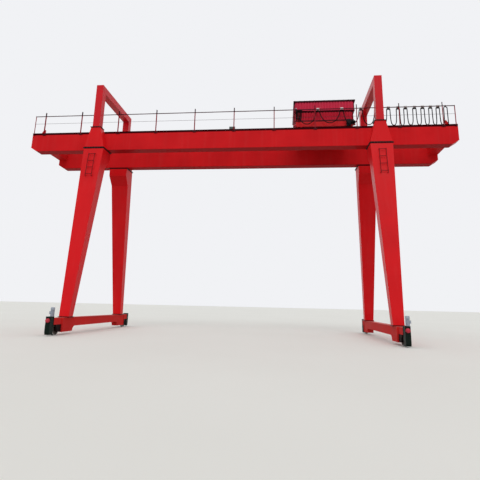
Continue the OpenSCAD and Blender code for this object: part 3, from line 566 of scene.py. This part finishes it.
# The dark bands at the foot flanges, the top flanges and the saddles' base plates are painted shade of the
# gaps at these plates, with some dirt on the ledges.
leg_red = painted_steel("leg_red", "#e9181f", shine=0.12, patches=0.06, dirt=0.06,
                        bands=((0.9, 0.95, 0.015, 0.95, "#220c0f"), (11.44, 11.53, 0.03, 1.0, "#240a0e"),
                               (12.89, 12.95, 0.012, 1.0, "#240a0e")))
finish_nodes(leg_red, "leg_front_left", "leg_front_right", "leg_rear_left", "leg_rear_right")
below_flange, above_flange = 11.46, 11.5
spots, runs = [], []
for sx, sy in four_corners:
    leg_x = sx * half_span
    for x in (-0.6825, 0.6825):
        for i in range(7):
            y = sy * (1.52 + i * 0.17)
            spots.append(((leg_x + x, y, below_flange), down))
            if i > 3:
                spots.append(((leg_x + x, y, above_flange), up))
    for x in [leg_x - 0.6 + i * 0.1714 for i in range(8)]:
        spots += [((x, sy * 2.609, below_flange), down), ((x, sy * 2.609, above_flange), up)]
    runs.append(round_run(leg_x, 0.66, sy * 1.485, sy * 2.585, below_flange))
    runs.append(round_run(leg_x, 0.285, sy * foot_in, sy * foot_out, foot_flange_top))
bolts("leg_flange_bolts", spots, 0.036, "crane", "zinc_steel", dark_steel)
welds("leg_fillets", runs, 0.009, "crane", "red_paint", leg_red)


# Leg heads and saddle portals: boxes beside the girders that carry a portal over the trolley.
# The posts' base plates are bolted to the heads.
# Its dark band at the base plates is painted shade of the gap under them, with some dirt.
saddle_red = painted_steel("saddle_red", "#df1625", shine=0.16, patches=0.06, dirt=0.08,
                           bands=((12.88, 12.95, 0.01, 0.9, "#2c1013"),))
finish_nodes(leg_red, "leg_heads_left", "leg_heads_right")
finish_nodes(saddle_red, "saddle_left", "saddle_right")
below_plate, above_plate, beam_z = 12.9, 12.93, 15.47
web_in, web_out = 1.475, 2.025
spots, runs = [], []
for sx, sy in four_corners:
    post_x = sx * half_span
    for x in (-0.292, 0.292):
        for y in (2.2, 2.355, 2.51):
            spots.append(((post_x + x, sy * y, above_plate), up))
            spots.append(((post_x + x * 1.15, sy * y, below_plate), down))
    for x in (-0.2, 0.0, 0.2):
        spots += [((post_x + x, sy * 2.61, above_plate), up), ((post_x + x, sy * 2.61, below_plate), down)]
    runs.append(round_run(post_x, 0.23, sy * 2.125, sy * 2.585, above_plate))
    runs.append([(post_x - 0.23, sy * 2.125, beam_z), (post_x + 0.23, sy * 2.125, beam_z)])
    for side in (-1, 1):
        low_x, high_x = post_x + side * 0.655, post_x + side * 0.343
        runs.append([(low_x, sy * web_out, 11.525), (high_x, sy * web_out, 12.765)])
bolts("saddle_bolts", spots, 0.036, "crane", "zinc_steel", dark_steel)
welds("saddle_fillets", runs, 0.009, "crane", "red_paint", saddle_red)


# Main girders: welded boxes with diaphragms inside, which print through the webs. Fillets run
# along the flange corners, and butt welds cross the webs where plates meet.
# The dark band under the top flange is painted shade of the flange's overhang, with some grime; the fainter
# dark band along the bottom flange is painted shade where the girders sit on the legs' flanges.
girder_red = painted_steel("girder_red", "#e12429", shine=0.01, patches=0.08, dirt=0.05, ribs=1.5,
                           bands=((12.67, 12.785, 0.03, 0.95, "#2e080e"),
                                  (11.4, 11.515, 0.015, 0.4, "#4a1217")))
finish_nodes(girder_red, "girder_front", "girder_rear", "end_ties")
runs = []
for y in (-web_out, -web_in, web_in, web_out):
    runs.append([(-13.25, y, 11.52), (13.25, y, 11.52)])
    runs.append([(-13.68, y, 12.77), (13.68, y, 12.77)])
    sunk = 0.0015 if y in (-web_in, web_out) else -0.0015
    runs += [[(x, y - sunk, 11.53), (x, y - sunk, 12.76)] for x in (-10.3, -6.8, -3.4, 3.4, 6.8, 10.3)]
for x in (-13.06, 13.06):
    runs += [[(x, -web_in, z), (x, web_in, z)] for z in (12.15, 12.77)]
welds("girder_seams", runs, 0.007, "crane", "red_paint", girder_red)


# Trolley rails: flat-bottomed rails, bright on the head where the wheels run and rusty below,
# held down by clamp plates with one bolt each. Welded stops close their ends.
def rolled_steel(name, bright_from):
    """Rusty rolled steel, bright above a height."""
    steel, tree, skin, place = new_finish(name)
    height = node(tree, "ShaderNodeSeparateXYZ", {"Vector": place}).outputs["Z"]
    flakes = noise(tree, place, 16.0, 9.0, 0.7)
    rust = over(tree, share(tree, flakes, 0.35, 0.62), tone("#4a2f22"), tone("#6b4631"))
    bright = share(tree, height, bright_from, bright_from + 0.003)
    fill(tree, skin, {"Base Color": over(tree, bright, rust, tone("#b3b1ad")), "Metallic": bright,
                      "Roughness": share(tree, bright, 0.0, 1.0, 0.8, 0.25),
                      "Normal": relief(tree, flakes, 0.4, 0.002)})
    return steel


finish_nodes(rolled_steel("rail_steel_worn", 12.892), "trolley_rails")
finish_nodes(girder_red, "rail_stops")
clip_tree, given = new_tree("rail_clips", "Clip")
plate = node(clip_tree, "GeometryNodeMeshCube", {"Size": (0.07, 0.05, 0.016)}).outputs["Mesh"]
nut = bar(clip_tree, 6, math_of(clip_tree, "MULTIPLY", given["Clip"], 0.2), 0.018, 0.025)
stud = bar(clip_tree, 10, math_of(clip_tree, "MULTIPLY", given["Clip"], 0.11), 0.04, 0.03)
clip = joined(clip_tree, [upwards(clip_tree, plate, 0.008), nut, stud])
on_points = node(clip_tree, "GeometryNodeInstanceOnPoints", {"Points": given["Geometry"], "Instance": clip})
finished(clip_tree, on_points.outputs[0], given["Finish"])
rail_y, girder_top = 1.5, 12.79
points = [(-12.75 + i * 0.75, y + side * 0.068, girder_top)
          for i in range(35) for y in (-rail_y, rail_y) for side in (-1, 1)]
worked("rail_clips", clip_tree, points, "crane", "rail_steel", dark_steel, Clip=0.07)


# Railings: angle posts bolted to brackets on the girders' webs, an angle top rail and a thin
# mid rail, in a darker red.
# The dark band at the foot brackets and the dark band over the top rail are painted shade; the grey band at
# the mid rail is its own colour.
railing_red = painted_steel("railing_red", "#a8172b", gloss=0.42, patches=0.1, dirt=0.15,
                            bands=((12.5, 12.745, 0.01, 0.85, "#2c0f14"),
                                   (13.45, 13.47, 0.002, 1.0, "#4d3a40"),
                                   (13.965, 14.5, 0.006, 0.95, "#340516")))
finish_nodes(railing_red, "railing_front", "railing_rear")
post_pitch = 18.0 / 7
spots = []
for sy in (-1, 1):
    for post_x in [i * post_pitch for i in range(-5, 6)]:
        spots += [((post_x + x, sy * 2.06, z), (0, sy, 0)) for x in (-0.08, 0.08) for z in (12.658, 12.712)]
        spots += [((post_x + 0.004, sy * 2.066, z), (0, sy, 0)) for z in (12.685, 13.997)]
bolts("railing_screws", spots, 0.019, "crane", "dark_red_paint", railing_red)


# Leg ladders: short ladders of round steel bar on the outer faces of the two front legs, just
# under the top flanges, welded on. Their dull dark red is partly painted shade, for the rungs' shadows.
finish_nodes(painted_steel("ladder_red_and_shade", "#5a0a12", gloss=0.45, dirt=0.2), "ladder_left", "ladder_right")


# Junction box on the front girder: a pressed steel case with a lifted lid, two hinges and cable
# glands, standing on feet.
box_grey = painted_steel("box_grey", "#5c6a66", gloss=0.4, streaks=0.15, dirt=0.3)
low, high = (Vector(corner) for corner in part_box("junction_box"))
high.z = low.z + 0.21
inset = Vector((0.004, 0.006, 0.012))
work = bmesh.new()
block(work, low + inset, high - inset, 0.006)
block(work, (low.x, low.y + 0.002, high.z - 0.018), (high.x, high.y - 0.002, high.z), 0.004)
for x in (low.x + 0.03, high.x - 0.07):
    block(work, (x, low.y, low.z), (x + 0.04, high.y, low.z + 0.012), 0.002)
    block(work, (x, low.y, high.z - 0.045), (x + 0.04, low.y + 0.01, high.z - 0.012), 0.002)
for x in (0.12, 0.19, 0.26):
    turned(work, [(0.016, 0), (0.016, -0.012), (0.012, -0.016), (0, -0.016)],
           (low.x + x, high.y - 0.016, low.z + 0.06), (0, -1, 0), 12)
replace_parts(piece_of("junction_box_case", work, "crane", box_grey), "junction_box")


# Trolley frame: welded plate beams and a deck in the brightest red, on four small wheels.
# Round covers close the bearings of the idle axle, and a row of screws holds each side plate.
# The dark band along the top of the frame, where the house wall stands on it, is painted shade.
frame_red = painted_steel("frame_red", "#dc1e25", patches=0.06, dirt=0.1,
                          bands=((13.36, 13.5, 0.02, 0.7, "#3a0f14"),))
finish_nodes(frame_red, "trolley_frame")
trolley_x, trolley_axle_z, half_base, beam_face = 5.765, 13.0723, 1.47, 1.62
cover = [(0.1, -0.002), (0.1, 0.014), (0.095, 0.018), (0.05, 0.02), (0.045, 0.026), (0, 0.026)]
work, spots = bmesh.new(), []
for sy in (-1, 1):
    turned(work, cover, (trolley_x - half_base, sy * beam_face, trolley_axle_z), (0, sy, 0), 36)
    cap = (trolley_x - half_base, sy * beam_face + sy * 0.018, trolley_axle_z)
    spots += ring_spots(cap, (0, sy, 0), 0.078, 6)
    spots += [((trolley_x - 1.0 + i * 0.25, sy * beam_face, 13.09), (0, sy, 0)) for i in range(9)]
piece_of("trolley_bearing_covers", work, "trolley", frame_red)
bolts("trolley_screws", spots, 0.017, "trolley", "red_paint", frame_red)
trolley_steel = wheel_steel("trolley_wheel_steel", "X", trolley_x, half_base, trolley_axle_z, 0.175)
finish_nodes(trolley_steel, "trolley_wheels")


# Trolley drives: a cast gearbox and a finned motor in dark grey on each side beam, at the
# driven axle. A turned cover, a breather and rows of screws sit on each gearbox.
drive_grey = painted_steel("drive_grey", "#17161a", gloss=0.42, streaks=0.1, dirt=0.3)
finish_nodes(drive_grey, "trolley_drives")
cover = [(0.07, -0.002), (0.07, 0.012), (0.062, 0.018), (0, 0.02)]
breather = [(0.02, -0.002), (0.02, 0.012), (0.012, 0.016), (0.012, 0.03), (0, 0.03)]
holes = [(x, z) for x in (-0.09, 0.12) for z in (-0.09, 0.11, 0.31)] + [(0.015, -0.09), (0.015, 0.31)]
x, z = trolley_x + half_base, trolley_axle_z
work, spots = bmesh.new(), []
for sy in (-1, 1):
    turned(work, cover, (x, sy * 1.81, z), (0, sy, 0), 36)
    spots += [((x + along, sy * 1.81, z + rise), (0, sy, 0)) for along, rise in holes]
    turned(work, breather, (x, sy * 1.715, z + 0.3327), up, 16)
piece_of("trolley_drive_covers", work, "trolley", drive_grey)
bolts("trolley_drive_screws", spots, 0.016, "trolley", "zinc_steel", dark_steel)


# Trolley buffers: round polyurethane cushions on base plates, at both ends of the side beams.
# They meet the stops on the rails.
cushion = [(0.08, 0), (0.08, 0.01), (0.078, 0.012), (0.062, 0.014), (0.062, 0.03), (0.058, 0.036),
           (0.058, 0.046), (0.063, 0.052), (0.062, 0.1), (0.054, 0.12), (0.04, 0.129), (0, 0.13)]
work = bmesh.new()
for sx, sy in four_corners:
    turned(work, cushion, (trolley_x + sx * 1.82, sy * rail_y, 13.165), (sx, 0, 0), 36)
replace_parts(piece_of("trolley_buffers_cast", work, "trolley", buffer_red), "trolley_buffers")


# Trolley house: ribbed sheet walls with a wider ribbed band above, folded flashings at the
# corners and edges, rows of screws, and a low roof of ribbed sheets with a ridge cap.
sheet_pitch, sheet_depth = 0.18, 0.028
wall_half, band_half, roof_half = (1.845, 1.62), (1.915, 1.69), (1.945, 1.72)


def whole_ribs(half):
    """How many whole ribs fit on a side of this half length."""
    return int((2 * half - sheet_pitch) / sheet_pitch + 1e-6)


def every_second_rib(half):
    """The middles of every second rib on such a side."""
    count = whole_ribs(half)
    return [(i + 0.5 - count / 2) * sheet_pitch for i in range(0, count, 2)]


def skinned(work, rings):
    """A skin over rings of places, one after the other, closed at both ends."""
    rings = [[work.verts.new(spot) for spot in ring] for ring in rings]
    for lower, upper in zip(rings, rings[1:]):
        for j in range(len(lower)):
            k = (j + 1) % len(lower)
            work.faces.new((lower[j], lower[k], upper[k], upper[j]))
    work.faces.new(rings[0])
    work.faces.new(rings[-1])


def ribbed_sheet(name, half_sizes, low, high, finish):
    """Ribbed sheet round a box: ribs stand up to the box's faces, and valleys lie behind them."""
    outline = []
    for turn, (half, reach) in enumerate(2 * (half_sizes, half_sizes[::-1])):
        count, valley = whole_ribs(half), reach - sheet_depth
        start = -count * sheet_pitch / 2
        side = [(half - sheet_depth, valley)]
        for i in range(count):
            for back, out in ((0.9, 0), (0.75, sheet_depth), (0.25, sheet_depth), (0.1, 0)):
                side.append((-(start + (i + 1 - back) * sheet_pitch), valley + out))
        c, s = math.cos(math.radians(90 * turn)), math.sin(math.radians(90 * turn))
        outline += [(along * c - out * s, along * s + out * c) for along, out in side]
    work = bmesh.new()
    skinned(work, [[(trolley_x + x, y, z) for x, y in outline] for z in (low, high)])
    return piece_of(name, work, "trolley", finish, angle=20)


# The dark bands on the wall, at its foot over the frame and under the band's lower edge, are painted shade;
# so is the darker top of the band, under the roof's edge.
wall_red = painted_steel("wall_red", "#cf1c36", gloss=0.42, patches=0.05, streaks=0.1,
                         bands=((13.3, 13.45, 0.02, 0.8, "#2c0c14"), (14.01, 14.1, 0.03, 0.9, "#2c0c14")))
band_red = painted_steel("band_red", "#d62b4c", gloss=0.38, patches=0.05, streaks=0.08,
                         bands=((14.66, 14.8, 0.03, 0.5, "#3a0e1c"),))
trim_dark = painted_steel("trim_dark", "#3a121c", gloss=0.45, dirt=0.2)
roof_red = painted_steel("roof_red", "#6d1f2b", gloss=0.45, streaks=0.2)
wall = ribbed_sheet("house_wall_sheet", wall_half, 13.415, 14.08, wall_red)
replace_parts(wall, "house_wall")
band = ribbed_sheet("house_band_sheet", band_half, 14.08, 14.735, band_red)
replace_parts(band, "house_band")
finish_nodes(roof_red, "house_roof")
work = bmesh.new()
for (half_x, half_y), z0, z1 in ((wall_half, 13.42, 14.08), (band_half, 14.085, 14.73)):
    for sx, sy in four_corners:
        x, y = trolley_x + sx * (half_x - 0.024), sy * (half_y - 0.024)
        for leg_x, leg_y in ((0.05, 0.006), (0.006, 0.05)):
            block(work, (x, y, z0), (x - sx * leg_x, y - sy * leg_y, z1), 0.0015)
piece_of("house_corner_flashings", work, "trolley", trim_dark)
work = bmesh.new()
for (half_x, half_y), z0, z1, out in ((wall_half, 13.412, 13.452, 0.01), (band_half, 14.07, 14.1, 0.006),
                                      (roof_half, 14.7, 14.782, 0.01)):
    for s in (-1, 1):
        block(work, (trolley_x - half_x - out, s * (half_y + out), z0),
              (trolley_x + half_x + out, s * (half_y - 0.03), z1), 0.003)
        block(work, (trolley_x + s * (half_x + out), -half_y, z0),
              (trolley_x + s * (half_x - 0.03), half_y, z1), 0.003)
piece_of("house_edge_trims", work, "trolley", trim_dark)
rib = [(-0.03, -0.003), (-0.016, 0.019), (0.016, 0.019), (0.03, -0.003)]
ridge = [(-0.17, 14.915), (-0.17, 14.94), (0.0, 14.962), (0.17, 14.94), (0.17, 14.915), (0.0, 14.93)]
work = bmesh.new()
for sy in (-1, 1):
    for x in [trolley_x - 1.86 + i * 0.31 for i in range(13)]:
        skinned(work, [[(x + along, y, z + rise) for along, rise in rib]
                       for y, z in ((sy * 0.02, 14.934), (sy * roof_half[1], 14.776))])
skinned(work, [[(trolley_x + x, y, z) for y, z in ridge] for x in (-roof_half[0], roof_half[0])])
piece_of("roof_ribs_and_ridge", work, "trolley", roof_red)
spots = []
for (half_x, half_y), heights in ((wall_half, (13.49, 13.75, 14.02)), (band_half, (14.15, 14.4, 14.66))):
    rows = [(z, s) for z in heights for s in (-1, 1)]
    spots += [((trolley_x + x, s * half_y, z), (0, s, 0)) for x in every_second_rib(half_x) for z, s in rows]
    spots += [((trolley_x + s * half_x, y, z), (s, 0, 0)) for y in every_second_rib(half_y) for z, s in rows]
bolts("sheet_screws", spots, 0.009, "trolley", "zinc_steel", dark_steel)


# Hoist ropes and hook block, drawn up under the trolley: laid wire ropes, painted cheeks, and
# turned covers over the sheaves' pins.
rope_steel = plain_finish("rope_steel", "#5b5852", "#75716a", 40.0, 0.45, metallic=0.8, speck=0.4)
sheave_x, sheave_z, cheek_y = 0.17, 12.885, 0.055
rope_run, rope_step, rope_lay = 0.1403, 0.01, 0.13
strands = [(a, 0.0089 + 0.0011 * math.cos(6 * a)) for a in [2 * math.pi * j / 24 for j in range(24)]]
work = bmesh.new()
for sx, side in four_corners:
    middle = trolley_x + sx * sheave_x + side * rope_run
    rings = []
    for i in range(54):
        z, twist = sheave_z + 0.53 * i / 53, 2 * math.pi * i * rope_step / rope_lay
        rings.append([(middle + r * math.cos(a + twist), r * math.sin(a + twist), z) for a, r in strands])
    skinned(work, rings)
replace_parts(piece_of("hoist_ropes_laid", work, "trolley", rope_steel, angle=60), "hoist_ropes")
hook_grey = plain_finish("hook_block_grey", "#3f4144", "#54504c", 6.0, 0.5, metallic=0.3, speck=0.3)
finish_nodes(hook_grey, "hook_block")
pin_cover = [(0.055, -0.002), (0.055, 0.008), (0.05, 0.012), (0, 0.012)]
work, spots = bmesh.new(), []
for sx, sy in four_corners:
    x = trolley_x + sx * sheave_x
    turned(work, pin_cover, (x, sy * cheek_y, sheave_z), (0, sy, 0), 32)
    spots += ring_spots((x, sy * cheek_y + sy * 0.01, sheave_z), (0, sy, 0), 0.038, 4)
for sy in (-1, 1):
    spots += [((trolley_x + x, sy * cheek_y, 12.665), (0, sy, 0)) for x in (-0.06, 0.0, 0.06)]
piece_of("sheave_covers", work, "trolley", drive_grey)
bolts("hook_block_screws", spots, 0.014, "trolley", "zinc_steel", dark_steel)


# Tow arm: a galvanised bar from the house to the festoon, with clamps that hold the cable's
# bundle under it.
zinc = plain_finish("zinc_coat", "#7b7f83", "#94989b", 25.0, 0.45, metallic=0.7, speck=0.1)
finish_nodes(zinc, "tow_arm")
cable_black = plain_finish("cable_black", "#080609", "#0f0d10", 18.0, 0.65, shine=0.12)
work = bmesh.new()
for x in (4.0, 4.08, 4.22, 4.3):
    block(work, (x - 0.034, -1.752, 14.09), (x + 0.034, -1.691, 14.1199), 0.004)
piece_of("bundle_clamps", work, "trolley", cable_black)


# Trolley cable: two turns of the festoon's rubber cable, which hang from the clamps under the
# tow arm, in front of the wall.
cable_radius = 0.028


def cable(name, spots, body):
    """A round cable through a run of spots."""
    path = [Vector(spot) for spot in spots]
    work, rings, across = bmesh.new(), [], Vector((0, 1, 0))
    for i, here in enumerate(path):
        onward = (path[min(i + 1, len(path) - 1)] - path[max(i - 1, 0)]).normalized()
        across = (across - onward * across.dot(onward)).normalized()
        rings.append(circle(here, across, onward.cross(across), cable_radius, 14))
    skinned(work, rings)
    piece = piece_of(name, work, body, cable_black, angle=180)
    return piece


bundle_x, bundle_y, arm_z, turn_z = 4.15, -1.7183, 14.12, 13.62
for i, radius in enumerate((0.07, 0.15)):
    turns = [math.pi * j / 24 for j in range(25)]
    path = [(bundle_x - radius, bundle_y, arm_z - 0.05 * j) for j in range(10)]
    path += [(bundle_x - radius * math.cos(a), bundle_y, turn_z - radius * math.sin(a)) for a in turns]
    path += [(bundle_x + radius, bundle_y, turn_z + 0.05 + 0.05 * j) for j in range(10)]
    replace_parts(cable("bundle_turn_%d" % (i + 1), path, "trolley"), "trolley_cable")


# Festoon track: a round steel bar inside the front railing, held by a bracket at each post. A
# fixed clamp holds the cable at its right end.
track_steel = plain_finish("track_steel", "#4d4b49", "#5f5650", 15.0, 0.5, metallic=0.5, speck=0.3)
finish_nodes(track_steel, "festoon_track")


# Festoon carriers: white housings that slide on the bar. Each has a black half-round saddle at
# its inner side, over which the cable hangs, held by a strap.
carrier_white = plain_finish("carrier_white", "#f4f4f2", "#fcfcfa", 10.0, 0.5, speck=0.1)
strap_black = plain_finish("strap_black", "#09080a", "#121113", 30.0, 0.65, shine=0.12)
arm_x, festoon_run = 3.97, 9.13
hang_shares = (0, 0.150, 0.314, 0.442, 0.545, 0.626, 0.690, 0.739, 0.798, 0.851, 0.902, 0.950, 1)
hang_x = [arm_x + festoon_run * s for s in hang_shares]
steps = (.157, .149, .169, .129, .091, .061, .035, .053, .042, .039, .034, .037)
follow = [1.0]
for step in steps[:-1]:
    follow.append(follow[-1] - step / sum(steps))
follow.append(0.0)


def solved(low, high, falls_short):
    """The value between low and high at which a test stops holding, found by halving."""
    for _ in range(60):
        middle = (low + high) / 2
        if falls_short(middle):
            low = middle
        else:
            high = middle
    return (low + high) / 2


def when_smooth(weight):
    """The way along a smooth blend at which it has come to this weight."""
    return solved(0.0, 1.0, lambda way: way * way * (3 - 2 * way) < weight)


track_y, track_z, cable_y = -1.95, 14.035, -1.892
carrier_half, strap_half, saddle_z = 0.09, 0.02, 13.92
housing_parts = ((-0.03, 0.03, 14.047, 14.12, 0.006), (0.014, 0.03, 13.985, 14.06, 0.003),
                 (-0.03, -0.014, 13.985, 14.023, 0.003), (-0.03, 0.03, 13.985, 13.997, 0.003))
strap_parts = ((-0.0325, -0.0285, 13.93, 14.05), (0.0285, 0.0325, 13.93, 14.05),
               (-0.0325, 0.0325, 14.0485, 14.053))
for k in range(1, 12):
    x = hang_x[k]
    work = bmesh.new()
    for y0, y1, z0, z1, soft in housing_parts:
        block(work, (x - carrier_half, track_y + y0, z0), (x + carrier_half, track_y + y1, z1), soft)
    housing = piece_of("festoon_carrier_%02d" % k, work, None, carrier_white)
    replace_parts(housing, "festoon_carriers")
    work = bmesh.new()
    turned(work, [(0.071, -0.027), (0.071, 0.027)], (x, cable_y, saddle_z), (0, 1, 0), 32)
    for side in (-1, 1):
        cheek = [(0.086, 0.0), (0.086, side * 0.004)]
        turned(work, cheek, (x, cable_y + side * 0.0281, saddle_z), (0, 1, 0), 32)
    whole = work.verts[:] + work.edges[:] + work.faces[:]
    cut = bmesh.ops.bisect_plane(work, geom=whole, plane_co=(0, 0, 13.925), plane_no=up, clear_inner=True)
    rims = [edge for edge in cut["geom_cut"] if isinstance(edge, bmesh.types.BMEdge)]
    bmesh.ops.holes_fill(work, edges=rims, sides=0)
    for y0, y1, z0, z1 in strap_parts:
        block(work, (x - strap_half, cable_y + y0, z0), (x + strap_half, cable_y + y1, z1), 0.001)
    strap = piece_of("festoon_saddle_%02d" % k, work, None, strap_black)
    way = when_smooth(follow[k])
    for part in (housing, strap):
        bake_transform(part)


# Festoon cable: one cable in twelve loops of about 2.6 m between the carriers, from the tow
# arm to the fixed clamp, and from there down into the girder.
saddle_bend, hang_length, hang_parts = 0.1, 2.246, 40


def hanging(spread):
    """The free part of a loop, wider for a greater spread: its end angle, and its run of x and z."""
    slopes = [hang_length * (i / hang_parts - 0.5) / spread for i in range(hang_parts + 1)]
    angles = [math.pi / 2 * s / math.sqrt(1 + s ** 2) for s in slopes]
    xs, zs = [0.0], [0.0]
    for a, b in zip(angles, angles[1:]):
        xs.append(xs[-1] + math.cos((a + b) / 2) * hang_length / hang_parts)
        zs.append(zs[-1] + math.sin((a + b) / 2) * hang_length / hang_parts)
    return angles[-1], xs, zs


def over_saddle(end):
    """The cable over a saddle, from its top round to an angle: a run of x and z."""
    angles = [end * i / 8 for i in range(9)]
    return [(saddle_bend * math.sin(a), saddle_z + saddle_bend * math.cos(a)) for a in angles]


def loop_path(x0, x1):
    """The curve of a loop with its whole length in it, over a saddle at each end."""
    def too_narrow(spread):
        end, xs, _ = hanging(spread)
        return xs[-1] + 2 * saddle_bend * math.sin(end) < x1 - x0

    end, xs, zs = hanging(solved(0.001, 20.0, too_narrow))
    *bend, (foot_x, foot_z) = over_saddle(end)
    path = [(x0 + x, cable_y, z) for x, z in bend]
    path += [(x0 + foot_x + x, cable_y, foot_z + z) for x, z in zip(xs, zs)]
    return path + [(x1 - x, cable_y, z) for x, z in bend[::-1]]


for k in range(1, 13):
    x0, x1 = hang_x[k - 1], hang_x[k]
    path = loop_path(x0, x1)
    if k == 1:
        from_arm = ((0, arm_z), (0.003, 14.08), (0.014, 14.05), (0.033, 14.023))
        path = [(x0 + x, cable_y, z) for x, z in from_arm] + [p for p in path if p[0] > x0 + 0.055]
    loop = cable("festoon_loop_%02d" % k, path, None)
    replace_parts(loop, "festoon_cable")
    way0, way1 = when_smooth(follow[k - 1]), when_smooth(follow[k])
    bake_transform(loop)
clamp_x, tail_x, tail_drop = 13.1, 13.2, saddle_z - girder_top
path = [(clamp_x + x, cable_y, z) for x, z in over_saddle(math.pi / 2)]
for i in range(1, 25):
    path.append((tail_x + 0.004 * math.sin(math.pi * i / 24), cable_y, saddle_z - tail_drop * i / 24))
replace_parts(cable("festoon_tail", path, "crane"), "festoon_cable")
gland = [(0.05, 0), (0.05, 0.012), (0.042, 0.016), (0.038, 0.06), (0.032, 0.07), (0.0285, 0.075)]
work = bmesh.new()
turned(work, gland, (tail_x, cable_y, girder_top), up, 24)
piece_of("festoon_gland", work, "crane", drive_grey)
